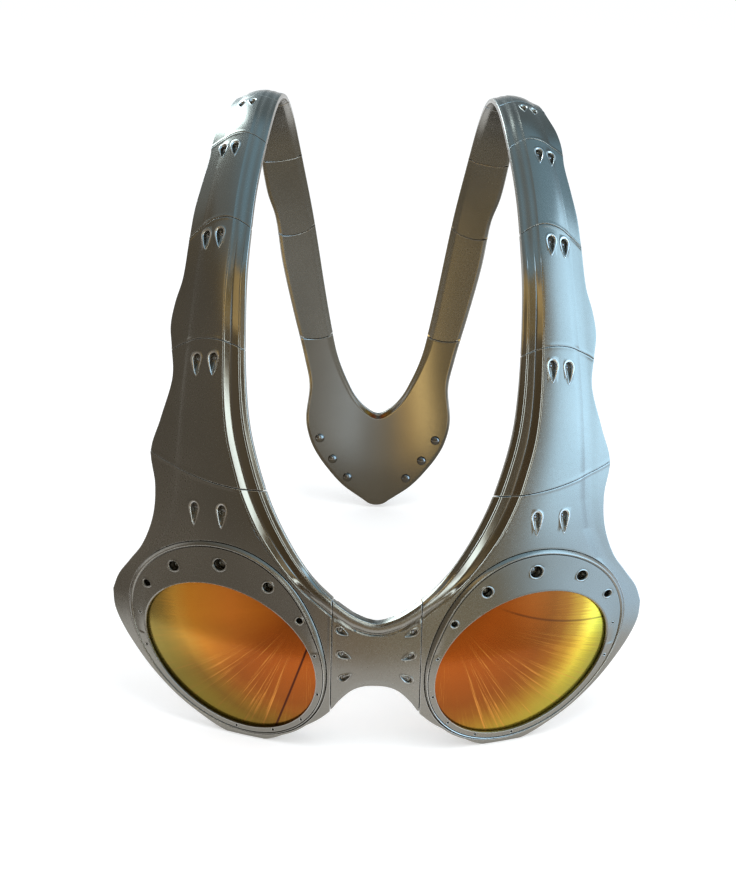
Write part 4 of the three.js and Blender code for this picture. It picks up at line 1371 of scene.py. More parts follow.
def plate_rays():
    """All rays once round, in blocks: face, rail shares, turns, ways out, edge, tongue, depth inside."""
    rows, rows_out = rail_rows()
    limit = np.linalg.norm(rows - [LENS_ALONG, LENS_ACROSS], axis=-1) > lens_wall(turn_of(rows)) + 0.3
    reach = np.where(limit, RAIL_SHARES, 0).max(axis=1)
    clamped = np.minimum(RAIL_SHARES, reach[:, None])
    index = np.argmax(limit, axis=1)
    pick = np.maximum(np.arange(len(RAIL_SHARES)), index[:, None])
    rows = np.take_along_axis(rows, pick[..., None], axis=1)
    row_turn = turn_of(rows[:, 0])
    row_first = np.column_stack(polar(row_turn, lens_wall(row_turn) + POCKET_EDGE))
    inner = face_stations(row_first, rows[:, 0], rows)
    steps = np.minimum.outer(np.arange(len(RAIL_SHARES)), np.arange(len(RAIL_SHARES)))

    def end_rays(n):
        stopped = rows[n][steps]
        first = np.broadcast_to(row_first[n], (len(stopped), 2))
        split = np.broadcast_to(rows[n, 0], (len(stopped), 2))
        return face_stations(first, split, stopped), clamped[n][steps], np.full(len(stopped), row_turn[n])

    rim, seam, bridge = plate_outline(rows)
    rim_out = unit(rim - [LENS_ALONG, LENS_ACROSS])
    seam_out = np.broadcast_to(TO_SEAM, seam.shape)
    bridge_out = np.broadcast_to(TO_BRIDGE, bridge.shape)
    closing = ease((np.arange(len(seam)) / (len(seam) - 1) - 0.5) / 0.5)
    opening = ease(1 - np.arange(len(bridge)) / (len(bridge) - 1) * 2)
    blocks = []
    face, turn = plain_rays(rim, rim_out, EDGE, np.full(len(rim), FACE_SHARE))
    blocks.append((face, None, turn, rim_out, EDGE, 0.0))
    face, turn = plain_rays(seam, seam_out, SEAM_EDGE, mix(FACE_SHARE, 1.0, closing))
    sunk = EDGE_INSIDE + TONGUE_SINK * (1 - ease((seam[:, 1] - rows[0, 0, 1]) / 2))
    blocks.append((face, None, turn, seam_out, SEAM_EDGE, 1.0, sunk))
    face, shares, turn = end_rays(0)
    out = np.broadcast_to(TO_SEAM, (len(face), 2))
    held = ease(shares[:, -1:] * 3 - 0.4)
    blocks.append((face, shares, turn, out, SEAM_EDGE, held, EDGE_INSIDE + TONGUE_SINK * held[:, 0]))
    blocks.append((inner, clamped, row_turn, rows_out, EDGE, 0.0))
    face, shares, turn = end_rays(-1)
    out = np.broadcast_to(TO_BRIDGE, (len(face), 2))
    blocks.append((face[::-1], shares[::-1], turn, out, SEAM_EDGE, ease(shares[::-1, -1:] * 3 - 0.4)))
    face, turn = plain_rays(bridge, bridge_out, SEAM_EDGE, mix(FACE_SHARE, 1.0, opening))
    blocks.append((face, None, turn, bridge_out, SEAM_EDGE, 1.0))
    return blocks


def block_section(face, shares, turn, out, round_edge, tongue, inside=EDGE_INSIDE):
    """Places of every station of the closed section, for the rays of one block."""
    along, across = face[..., 0], face[..., 1]
    lift = front_lift(along, across)
    if shares is not None:
        rail = np.s_[:, FACE_STATIONS:]
        lift[rail] = front_relief(along[rail], across[rail], shares)
    edge, wall = lens_radius(turn), lens_wall(turn)
    level = np.ones(len(turn))
    first, last = lift[:, 0], lift[:, -1]
    flats = [np.column_stack(polar(turn, radius)) for radius in (wall, wall, wall + 0.05)]
    lifts = [LEDGE_TOP * level, first - 0.15, first - 0.05]
    flats += list(np.moveaxis(face, 1, 0))
    lifts += list(lift.T)
    high, low = last - round_edge, (EDGE - inside) * level
    for angle in ROUND_TURNS[1:]:
        flats.append(face[:, -1] + round_edge * np.sin(angle) * out)
        lifts.append(high + round_edge * np.cos(angle))
    for share in LEAF_SHARES + (PLATE_TONGUE,):
        flats.append(flats[-1])
        lifts.append(mix(high, low, share))
    rim = flats[-1] + TONGUE * tongue * out
    flats.append(rim)
    lifts.append(lifts[-1])
    for angle in ROUND_TURNS[::-1]:
        flats.append(rim - EDGE * (1 - np.sin(angle)) * out)
        lifts.append(low - EDGE * np.cos(angle))
    ledge = np.column_stack(polar(turn, edge - 0.4))
    start = flats[-1]
    for share in np.linspace(0, 1, UNDER_STATIONS)[1:]:
        flats.append(mix(start, ledge, share))
        lifts.append(mix(-inside, PLATE_INSIDE, ease(4 * share)) * level)
    hole = np.column_stack(polar(turn, edge - 0.6))
    flats += [hole, hole, ledge]
    lifts += [-SHELL_INSIDE * level, (LEDGE_TOP - 0.2) * level, LEDGE_TOP * level]
    return np.concatenate([np.stack(flats), np.stack(lifts)[..., None]], axis=-1)


def closed_ring(section, holes=()):
    """A grid that is closed both ways: stations by rays, with the last station joined to the first."""
    return sheet(np.concatenate([section, section[:1]]), closed=True, holes=holes)


def orbital_patches():
    """The ring round the lens, with the drop windows of the first link."""
    sections = [block_section(*block) for block in plate_rays()]
    stations = FACE_STATIONS + len(RAIL_SHARES)
    start, before = POCKET_STATIONS, sections[0].shape[1]
    blocks, rings = drop_windows(sections[1][start : start + stations], 0, front_lift)
    holes = [(i0 + start, i1 + start, j0 + before, j1 + before) for i0, i1, j0, j1 in blocks]
    return [closed_ring(np.concatenate(sections, axis=1), holes), *rings]


made = len(finished)
for word, side in SIDES.items():
    node = "orbital_" + word
    gloss, rim_highlights = rail_polish(front_share), drop_rim_highlight(0)
    finish_piece(node + "_shell", node, orbital_patches(), side, pewter, polish=gloss, painted_highlight=rim_highlights)
report("lens plates", made)

# %% [markdown]
# ## Bezels, screws and lenses
# A bezel ring holds each lens. It is narrow at the nose and swells over the brow, where five round
# holes pierce it, and a row of small dimples runs round the rest. Its bevelled outer rim catches the
# light. The lens is a shallow disc below the lip, and three of the holes hold the screws.

# %% Bezels
BEZEL_TURNS = 540
BEZEL_FACE = 22
BEZEL_BOTTOM = LEDGE_TOP + PLAY
LENS_TOP = 1.5
LENS_TUCK = 1.0
BEZEL_HOLES = (36, 58, 85, 115, 143)
SCREW_HOLES = (58, 85, 115)
DIMPLES = (-10, 14, 169, 196, 218, 239, 264)
HOLE_SHARE = 0.26
HOLE_FLOOR = -0.45
DIMPLE_RADIUS = 0.34
DIMPLE_PLACE = 0.34
DIMPLE_FLOOR = 1.9
SCREW_TOP = 0.35
SCREW_CROWN = 0.45
BEZEL_LIFT = 2.46
BEZEL_HOLLOW = 0.12
# The rounded lip: distance outside the lens outline and lift.
BEZEL_LIP = [(0.0, 2.0), (0.08, 2.25), (0.22, 2.42)]
# The groove and the bevelled rim: distance inside the bezel's outline and lift.
BEZEL_RIM = [
    (1.62, 2.28), (1.5, 2.3), (1.42, 2.36), (1.35, 2.54), (1.22, 2.68), (1.08, 2.74), (0.94, 2.72),
    (0.8, 2.64), (0.15, 2.16), (0.05, 2.05), (0.0, 1.9),
]


def bezel_section():
    """Stations of the ring: lip, flat face, groove and bevelled rim, scaled where the ring is narrow."""
    turn = np.linspace(-np.pi / 2, 1.5 * np.pi, BEZEL_TURNS, endpoint=False)
    edge, width = lens_radius(turn), ring_width(turn)
    scale = np.clip(width / 5, 0.5, 1)
    lip = LENS_TOP + PLAY
    level = np.ones(len(turn))
    stations = [(0 * width, lip * level)]
    stations += [(out * scale, lift * level) for out, lift in BEZEL_LIP]
    for share in np.linspace(0, 1, BEZEL_FACE):
        out = mix(0.4 * scale, width - 1.75 * scale, share)
        stations.append((out, BEZEL_LIFT - BEZEL_HOLLOW * np.sin(np.pi * share) * (width > 4)))
    stations += [(width - inset * scale, lift * level) for inset, lift in BEZEL_RIM]
    stations += [(width, BEZEL_BOTTOM * level), (LENS_TUCK + PLAY + 0 * width, BEZEL_BOTTOM * level)]
    stations += [(LENS_TUCK + PLAY + 0 * width, lip * level)]
    radius, lift = np.array([part[0] for part in stations]), np.array([part[1] for part in stations])
    return turn, np.stack([*polar(turn, edge + radius), lift], axis=-1)


def ring_hole(face, turns, degrees, radius, out_share, floor):
    """Block and rings of a round hole in the face of the bezel at a turn."""
    turn = np.radians(degrees)
    width = ring_width(turn)
    middle = polar(turn, lens_radius(turn) + out_share * width)
    ray = np.argmin(np.abs(turns - turn))
    away = np.linalg.norm(face[:, ray, :2] - middle, axis=-1)
    row = int(np.clip(away.argmin(), 2, len(face) - 3))
    reach = radius + 0.5 * min(1.0, radius / LIP_RADIUS) + 0.06
    inside = np.flatnonzero(away < reach)
    i0, i1 = max(0, inside.min() - 1), min(len(face) - 1, inside.max() + 1)
    beside = np.linalg.norm(face[row, :, :2] - middle, axis=-1)
    rays = np.flatnonzero(beside < reach)
    block = (i0, i1, rays.min() - 1, rays.max() + 1)
    level = face[row, ray, 2]

    def flat_face(along, across):
        return np.full(len(along), level)

    return block, pierced(face, block, middle, radius, floor, flat_face)


def bezel_patches():
    """The ring with its holes and dimples."""
    turns, section = bezel_section()
    start = 1 + len(BEZEL_LIP)
    face = section[start : start + BEZEL_FACE]
    openings = [(d, HOLE_SHARE * ring_width(np.radians(d)) / 2, 0.5, HOLE_FLOOR) for d in BEZEL_HOLES]
    openings += [(d, DIMPLE_RADIUS, DIMPLE_PLACE, DIMPLE_FLOOR) for d in DIMPLES]
    blocks, rings = zip(*(ring_hole(face, turns, *opening) for opening in openings))
    holes = [(i0 + start, i1 + start, j0, j1) for i0, i1, j0, j1 in blocks]
    return [closed_ring(section, holes), *rings]


def screw_patches(degrees):
    """A domed head at the bottom of its hole."""
    turn = np.radians(degrees)
    width = ring_width(turn)
    radius = HOLE_SHARE * width / 2 - PLAY
    middle = polar(turn, lens_radius(turn) + 0.5 * width)
    return [revolved(middle, domed(radius, BEZEL_BOTTOM, SCREW_TOP, SCREW_CROWN), 40)]


LENS_RINGS = 44
LENS_TURNS = 192
LENS_CROWN = 0.35
LENS_ROUND = 0.2


def lens_patches():
    """A disc: crowned top, rounded edge, flat back, as rings from the middle out and back in."""
    turn = np.linspace(0, 2 * np.pi, LENS_TURNS, endpoint=False)
    reach = lens_radius(turn) + LENS_TUCK
    share = np.linspace(0, 1, LENS_RINGS)
    stations = [(s * (reach - LENS_ROUND), LENS_TOP - LENS_ROUND + LENS_CROWN * (1 - s**2)) for s in share]
    stations += [(reach - 0.06, LENS_TOP - 0.26), (reach, LENS_TOP - 2 * LENS_ROUND)]
    stations += [(reach, BEZEL_BOTTOM + LENS_ROUND)]
    stations += [(s * (reach - LENS_ROUND), BEZEL_BOTTOM) for s in share[::-4]]
    stations += [(0 * reach, BEZEL_BOTTOM)]
    grid = [np.stack([*polar(turn, radius), lift + 0 * turn], axis=-1) for radius, lift in stations]
    return [sheet(np.stack(grid), closed=True)]


made = len(finished)
for word, side in SIDES.items():
    finish_piece(f"bezel_{word}_ring", "bezel_" + word, bezel_patches(), side, pewter)
    finish_piece(f"lens_{word}_disc", "lens_" + word, lens_patches(), side, mirror, fan_place)
    for n, degrees in enumerate(SCREW_HOLES):
        node = f"bezel_screw_{word}_{n + 1}"
        finish_piece(node + "_head", node, screw_patches(degrees), side, pin_steel)
report("bezels, lenses and screws", made)

# %% [markdown]
# ## Bridge, strap and nose pads
# The bridge is a small saddle between the lens plates, with a rolled upper edge and three drop windows
# on each side. A spring strap behind it carries the pegs that show in the windows and closes the
# bridge seams from behind. Below, a crowned rubber strip sits behind the nose side of each plate.

# %% Bridge and strap
BRIDGE_COLUMNS = 85
BRIDGE_ROWS = (36, 40, 14)
BRIDGE_PEGS = [(37.1, 9.7, 30), (30, 9.1, 20), (23.1, 8.6, -32)]
BRIDGE_DROP = (0.75, 0.53)
BRIDGE_DROP_DEPTH = 0.8
BRIDGE_ROLL = 2.2
BRIDGE_ROLL_DROP = 0.7
SLOPE_PROBE = 0.4
WINDOW_ROOM = 0.5
STRAP_EDGE = 2.0
STRAP_HALF = 15.5
STRAP_THICKNESS = 1.1
STRAP_PINCH = 2.5
STRAP_PEG_RADIUS = 0.45
STRAP_PEG_TOP = 1.45
STRAP_PEG_CROWN = 0.35
STRAP_TOP = PLATE_INSIDE - PLAY
STRAP_LOW = min(peg[0] for peg in BRIDGE_PEGS) - STRAP_EDGE
STRAP_HIGH = max(peg[0] for peg in BRIDGE_PEGS) + STRAP_EDGE


def bridge_lift(along, across):
    """Front relief by the height under the sloping upper edge, rolled down towards the lower edge."""
    beside = np.abs(across)
    climb = high_at(beside + SLOPE_PROBE) - high_at(np.abs(beside - SLOPE_PROBE))
    lean = np.hypot(1, climb / (2 * SLOPE_PROBE))
    share = (high_at(beside) - along) / lean / by_plan(RAIL_PLAN, high_at(beside))
    roll = ease((BRIDGE_ROLL - (along - low_at(beside))) / BRIDGE_ROLL)
    return front_relief(along, across, share) - BRIDGE_ROLL_DROP * roll


def bridge_flat(inset):
    """Grid of the bridge from its upper to its lower edge, drawn in by an inset at both seams."""
    half = BRIDGE_HALF - SEAM_GAP / 2 - SEAM_EDGE - inset
    ends = END_ROWS / half - 1
    inside = np.linspace(ends[-1], -ends[-1], BRIDGE_COLUMNS)[1:-1]
    across = np.concatenate([ends, inside, -ends[::-1]])[:, None] * half
    high, low = high_at(np.abs(across)), low_at(np.abs(across))
    marks = np.hstack([high - EDGE, high - 1.1 * by_plan(RAIL_PLAN, high), low + BRIDGE_ROLL, low + EDGE])
    along = spread(marks, BRIDGE_ROWS)
    grids = along, np.broadcast_to(across, along.shape), high - along, along - low
    return [grid.T for grid in grids]


def bridge_patches():
    """A grid from the upper to the lower edge, with three drop windows on each side."""
    along, across, _, _ = bridge_flat(0.0)
    top = np.stack([along, across, bridge_lift(along, across)], axis=-1)
    along, across, depth, gap = bridge_flat(RECESS)
    bottom = np.stack([along, across, underside(depth, gap)], axis=-1)
    radius, length = DROP_RADIUS * BRIDGE_DROP[0], DROP_LENGTH * BRIDGE_DROP[1]
    blocks, rings = [], []
    for side in (-1, 1):
        for peg_along, peg_across, lean in BRIDGE_PEGS:
            tail = side * np.radians(270 - lean)
            reach = length - radius
            middle = (peg_along, side * peg_across)
            tip = np.array([np.cos(tail), np.sin(tail)]) * reach
            before, after = max(radius, -tip[0]) + WINDOW_ROOM, max(radius, tip[0]) + WINDOW_ROOM
            block = window_block(top, middle, before, after, radius, tip[1])
            blocks.append(block)
            floor = bridge_lift(*np.array(middle)[:, None])[0] - BRIDGE_DROP_DEPTH
            rings.append(pierced(top, block, middle, radius, floor, bridge_lift, tail, length))
    wall = plate_wall(top, bottom, EDGE, SEAM_EDGE, RECESS_SHARE)
    return [sheet(top, holes=blocks), sheet(bottom), sheet(wall, closed=True), *rings]


def window_block(grid, middle, before, after, radius, sideways):
    """Block round a drop that leans: its reach along, and its tail's reach to one side."""
    j = np.argmin(np.abs(grid[0, :, 1] - middle[1]))
    rows = grid[:, j, 0] - middle[0]
    columns = grid[0, :, 1] - middle[1]
    inside = np.flatnonzero((rows > -before) & (rows < after))
    low, high = min(-radius, sideways) - WINDOW_ROOM, max(radius, sideways) + WINDOW_ROOM
    across = np.flatnonzero((columns > low) & (columns < high))
    return inside.min() - 1, inside.max() + 1, across.min() - 1, min(across.max() + 1, grid.shape[1] - 1)


def strap_patches():
    """A strip drawn in at its middle, with six domed pegs."""
    across = np.linspace(-1, 1, 61)[None, :] * (STRAP_HALF - EDGE)
    pinch = STRAP_PINCH * (1 - np.abs(across) / STRAP_HALF)
    low, high = STRAP_LOW + pinch + EDGE, STRAP_HIGH - pinch - EDGE
    along = mix(low, high, np.linspace(0, 1, 25)[:, None])
    across = np.broadcast_to(across, along.shape)
    top = np.stack([along, across, np.full(along.shape, STRAP_TOP)], axis=-1)
    bottom = top - [0, 0, STRAP_THICKNESS]
    wall = plate_wall(top, bottom, EDGE, EDGE, PLAIN_LAP)
    patches = [sheet(top), sheet(bottom), sheet(wall, closed=True)]
    peg = domed(STRAP_PEG_RADIUS, STRAP_TOP - 0.4, STRAP_PEG_TOP, STRAP_PEG_CROWN)
    for side in (-1, 1):
        for peg_along, peg_across, _ in BRIDGE_PEGS:
            patches.append(revolved((peg_along, side * peg_across), peg))
    return patches


PAD_THICKNESS = 3.6
PAD_GAP = 1.0
PAD_SWEEP = np.radians(51)
PAD_EDGE = 0.8
PAD_NARROW = 1.6
PAD_SWELL = 2.4


def pad_patches():
    """A strip that follows the lens: its width and its bulge towards the nose swell in the middle."""
    start = np.pi + np.arcsin((LENS_ALONG - STRAP_LOW + PAD_GAP) / lens_radius(np.pi))
    way = np.linspace(0, 1, 49)[:, None]
    share = np.linspace(0, 1, 21)
    turn = start + PAD_SWEEP * way
    # Both bulges stop short of zero, so the rim of the pad keeps some thickness.
    full = np.sin(np.pi * (6 * way + 0.6) / 7.2)
    width = np.minimum(RING_NARROW + 1.2, PAD_NARROW + PAD_SWELL * full)
    bulge = np.sin(np.pi * (3 * share + 0.5) / 4)
    deep = PAD_EDGE + (PAD_THICKNESS - PAD_EDGE) * full * bulge
    spots = polar(turn, lens_radius(turn) - 0.4 + width * share)
    top = np.stack([*spots, np.full(deep.shape, STRAP_TOP)], axis=-1)
    bottom = np.stack([*spots, STRAP_TOP - deep], axis=-1)
    return [sheet(top), sheet(bottom), sheet(plate_wall(top, bottom, 0.0, 0.0, PLAIN_LAP), closed=True)]


made = len(finished)
finish_piece("bridge_shell", "bridge", bridge_patches(), 1, pewter)
finish_piece("bridge_strap_strip", "bridge_strap", strap_patches(), 1, steel)
for word, side in SIDES.items():
    pad = finish_piece(f"nose_pad_{word}_rubber", "nose_pad_" + word, pad_patches(), side, rubber)
report("bridge, strap and pads", made)

# %% [markdown]
# ## The rear plate
# Behind the head the two arms meet in a shield with a notch at the top and a blunt point below. Its
# rows run like the ribs of a horseshoe from one arm round the tip to the other, so that the rail of the
# inner edge stays a single flowing band. Six pins go right through, with round heads on both faces.

# %% Rear plate and pins
REAR_ROWS = 241
REAR_COLUMNS = (18, 34, 14, 10)
REAR_PINS = [(409.4, 21.7), (418, 16.8), (425.4, 11.1)]
PIN_RADIUS = 1.4
INNER_HEAD_RADIUS = 1.68
INNER_HEAD_HEIGHT = 1.15
OUTER_HEAD_LIFT = 2.1
OUTER_HEAD_HEIGHT = 0.35
FLANGE_REACH = 1.9
# Columns of the shield: width of the inner band, of the flange and of the rim.
REAR_BAND = 3.6
REAR_FLANGE = 3.2
REAR_RIM = 0.8
LAST_SEAM = len(SEAMS) - 1


def half_edge(line, t, shift, share):
    """Point of the inner or outer edge at a share of its length from the last seam to the middle."""
    start = seam_along(LAST_SEAM, t) + SEAM_GAP / 2 + SEAM_EDGE + shift
    first = np.interp(start, line[:, 0], line[:, 1])
    path = np.vstack([[start, first], line[line[:, 0] > start + 0.2]])
    lengths = run_lengths(path)
    target = share * lengths[-1]
    return np.interp(target, lengths, path[:, 0]), np.interp(target, lengths, path[:, 1])


def rear_flat(shift):
    """Rows from the left arm round the tip to the right arm; gives along, across, depth and gap."""
    way = np.linspace(-1, 1, REAR_ROWS)[:, None]
    share = 1 - np.abs(way)
    inner_along, inner_across = half_edge(INNER_LINE, 0.0, shift, share)
    outer_along, outer_across = half_edge(OUTER_LINE, 1.0, shift, share)
    width = np.hypot(outer_along - inner_along, outer_across - inner_across)
    steps = [EDGE + 0 * width, REAR_BAND + 0 * width]
    steps += [width - inset for inset in (REAR_FLANGE, REAR_RIM, EDGE)]
    t = spread(np.hstack([step / width for step in steps]), REAR_COLUMNS)
    bow = seam_along(LAST_SEAM, t) - mix(seam_along(LAST_SEAM, 0), seam_along(LAST_SEAM, 1), t)
    along = mix(inner_along, outer_along, t) + bow * np.maximum(0, 1 - 4 * share)
    across = np.sign(way) * mix(inner_across, outer_across, t)
    return along, across, t * width, (1 - t) * width


def rear_patches():
    """Face, inside and wall of the shield, with pockets for the two last links."""
    along, across, depth, gap = rear_flat(0.0)
    face = relief(along, depth / by_plan(RAIL_PLAN, along), FLANGE_REACH - gap)
    top = np.stack([along, across, thinned(face, along, gap)], axis=-1)
    along, across, depth, gap = rear_flat(RECESS)
    bottom = np.stack([along, across, underside(depth, gap)], axis=-1)
    wall = plate_wall(top, bottom, SEAM_EDGE, EDGE, RECESS_SHARE)
    mirrored = wall * [1, -1, 1]
    right, right_patches = leaf_pocket(wall, LAST_SEAM)
    left, left_patches = leaf_pocket(mirrored, LAST_SEAM)
    left_patches = [(points * [1, -1, 1], quads) for points, quads in left_patches]
    body = [sheet(top), sheet(bottom), sheet(wall, closed=True, holes=[right, left])]
    return body + right_patches + left_patches


def pin_patches(middle):
    """A pin with a round head on the outside and a taller one on the inside."""
    turn = np.radians(np.linspace(-90, 90, 13))
    low, high = turn[:7], turn[6:]
    inner = zip(INNER_HEAD_RADIUS * np.cos(low), PLATE_INSIDE + INNER_HEAD_HEIGHT * np.sin(low))
    outer = zip(PIN_RADIUS * np.cos(high), OUTER_HEAD_LIFT + OUTER_HEAD_HEIGHT * np.sin(high))
    return [revolved(middle, [*inner, *outer])]


made = len(finished)
finish_piece("rear_plate_shell", "rear_plate", rear_patches(), 1, pewter, polish=inside_polish)
for word, side in SIDES.items():
    for n, middle in enumerate(REAR_PINS):
        node = f"rear_pin_{word}_{n + 1}"
        finish_piece(node + "_head", node, pin_patches(middle), side, pin_steel)
report("rear plate and pins", made)

# %% [markdown]
# ## Camera
# The photograph looks down at the sunglasses from in front, from a little over half a metre away. The
# camera stands at the place, tilt and focal length that bring the construction model's outline onto
# the object's outline in the photograph.

# %% Camera
IMAGE_HEIGHT = 869
FOCAL_PIXELS = 1893.6
SENSOR = 36.0
CAMERA_PLACE = np.array([-3.822, -566.448, 253.219]) * MM
PITCH = np.radians(18.834)
YAW = np.radians(0.026)
ROLL = np.radians(-1.34)


def camera_axes():
    """Right, up and forward of a camera turned by yaw, then tilted down by pitch, then rolled."""
    level = np.array([np.cos(YAW), -np.sin(YAW), 0])
    forward = np.array([np.sin(YAW) * np.cos(PITCH), np.cos(YAW) * np.cos(PITCH), -np.sin(PITCH)])
    upright = np.cross(level, forward)
    right = np.cos(ROLL) * level - np.sin(ROLL) * upright
    return right, np.sin(ROLL) * level + np.cos(ROLL) * upright, forward


right_axis, up_axis, forward_axis = camera_axes()
lens_data = bpy.data.cameras.new("camera")
lens_data.sensor_width = SENSOR
lens_data.lens = FOCAL_PIXELS * SENSOR / IMAGE_HEIGHT
lens_data.clip_start = 0.01
camera = bpy.data.objects.new("camera", lens_data)
turned = np.eye(4)
turned[:3, :3] = np.column_stack([right_axis, up_axis, -forward_axis])
turned[:3, 3] = CAMERA_PLACE
camera.matrix_world = Matrix(turned.tolist())
bpy.context.scene.collection.objects.link(camera)
bpy.context.scene.camera = camera
print("focal length: %.2f mm" % lens_data.lens)

# %% [markdown]
# ## Light and floor
# World and floor are white, for the camera and in reflections alike, and three weak soft boxes light
# the object evenly. The floor is matt and glows a little by itself, so it stays white and still takes a
# shadow.

# %% World, lamps and floor
WHITE = (1.0, 1.0, 1.0)
TARGET = (0, 0, 0.08)
FLOOR_REACH = 3.0
FLOOR_LEVEL = -0.00005
FLOOR_GLOW = 0.35


def white_world():
    """White where it is seen or mirrored, a calmer cool grey where it only lights."""
    world = bpy.data.worlds.new("studio")
    world.use_nodes = True
    tree = world.node_tree
    path = tree.nodes.new("ShaderNodeLightPath")
    seen = math(tree, path.outputs["Is Camera Ray"], path.outputs["Is Glossy Ray"], "MAXIMUM")
    seen = math(tree, seen, path.outputs["Is Transmission Ray"], "MAXIMUM")
    colour = blended(tree, seen, (0.70, 0.72, 0.74), WHITE)
    tree.links.new(colour, tree.nodes["Background"].inputs["Color"])
    bpy.context.scene.world = world


def facing(place_at, target):
    """A turn and place whose Z axis points from a place to a target, as a matrix."""
    forward = unit(np.array(target, float) - np.array(place_at, float))
    side = unit(np.cross([0, 0, 1.0], forward))
    turned = np.eye(4)
    turned[:3, :3] = np.column_stack([side, np.cross(forward, side), forward])
    turned[:3, 3] = place_at
    return turned


def softbox(name, place_at, size, power, colour):
    """A rectangular lamp, in metres, that faces the object; a lamp shines along its own minus Z."""
    lamp = bpy.data.lights.new(name, "AREA")
    lamp.shape = "RECTANGLE"
    lamp.size, lamp.size_y = size
    lamp.energy = power
    lamp.color = colour
    holder = bpy.data.objects.new(name, lamp)
    turned = facing(place_at, TARGET) @ np.diag([1, -1, -1, 1])
    holder.matrix_world = Matrix(turned.tolist())
    holder.visible_glossy = False
    bpy.context.scene.collection.objects.link(holder)
    return holder


def stage_grid(name, points, quads, material):
    """A mesh of the set, which is no part of the object."""
    mesh = bpy.data.meshes.new(name)
    mesh.from_pydata(points.tolist(), [], quads.reshape(-1, 4).tolist())
    mesh.materials.append(material)
    piece = bpy.data.objects.new(name, mesh)
    bpy.context.scene.collection.objects.link(piece)
    return piece


def pale_floor():
    """A flat square under the object: matt white, with part of its light its own so it stays white."""
    reach = np.linspace(-FLOOR_REACH, FLOOR_REACH, 5)
    grid = np.stack(np.meshgrid(reach, reach, [FLOOR_LEVEL], indexing="ij"), axis=-1).reshape(5, 5, 3)
    material, _, shader, _ = blank_material("floor_white")
    shader.inputs["Base Color"].default_value = (0.9, 0.9, 0.9, 1)
    shader.inputs["Roughness"].default_value = 1.0
    shader.inputs["Specular IOR Level"].default_value = 0.0
    shader.inputs["Emission Color"].default_value = (*WHITE, 1)
    shader.inputs["Emission Strength"].default_value = FLOOR_GLOW
    return stage_grid("floor", *sheet(grid), material)


white_world()
pale_floor()
softbox("top_box", (0.25, -0.35, 1.1), (0.6, 0.5), 3.0, (0.95, 0.98, 1.0))
softbox("right_strip", (0.75, -0.75, 0.5), (0.08, 0.7), 1.6, (0.9, 0.96, 1.0))
softbox("warm_strip", (-0.75, -0.8, 0.35), (0.05, 0.5), 0.9, (1.0, 0.75, 0.4))
bpy.context.scene.view_settings.view_transform = "Standard"

# %% [markdown]
# ## Cards to mirror
# Bare metal shows what is round it, so the studio matters as much as the finish. Round the set stand
# coloured cards, as a photographer would place flags and bounce boards: a dark warm backdrop with one
# narrow white strip, gold above it, a pale blue window on the right, a bright patch on the rear wall for
# the crown, and warm mats under the arch. They are made like any other grid, and only reflections see
# them, so they never get into a picture from another side.

# %% Cards
# Each card: corner, the ends of its two sides from that corner, and colour stops along the first side.
CARDS = {
    "ceiling": ((-1.6, -1.2, 1.15), (3.2, 0, 0), (0, 2.0, 0), [
        (0, (0.36, 0.37, 0.36)), (0.35, (0.37, 0.41, 0.42)), (0.65, (0.47, 0.8, 1.07)),
        (1, (0.6, 0.9, 1.2)),
    ]),
    "rear_wall": ((-1.6, 0.9, 0.25), (3.2, 0, 0), (0, 0, 1.1), [
        (0, (0.4, 0.45, 0.45)), (0.2, (0.4, 0.45, 0.45)), (0.24, (7.0, 8.6, 9.2)),
        (0.395, (7.0, 8.6, 9.2)), (0.42, (0.5, 0.62, 0.7)), (0.52, (0.24, 0.3, 0.33)),
        (1, (0.24, 0.32, 0.36)),
    ]),
    "bounce_mat": ((-0.09, -0.07, 0.001), (0.18, 0, 0), (0, 0.091, 0), [
        (0, (0.36, 0.29, 0.18)), (0.33, (0.5, 0.38, 0.2)), (0.375, (2.7, 2.0, 0.88)),
        (0.41, (1.3, 0.9, 0.4)), (0.47, (0.66, 0.57, 0.43)), (0.53, (0.68, 0.69, 0.68)),
        (0.58, (1.0, 1.1, 1.2)), (0.68, (0.6, 0.6, 0.58)), (1, (0.45, 0.45, 0.41)),
    ]),
    "under_mat": ((-0.09, 0.021, 0.001), (0.18, 0, 0), (0, 0.08, 0), [
        (0, (0.27, 0.22, 0.14)), (0.5, (0.32, 0.29, 0.23)), (1, (0.38, 0.37, 0.33)),
    ]),
}
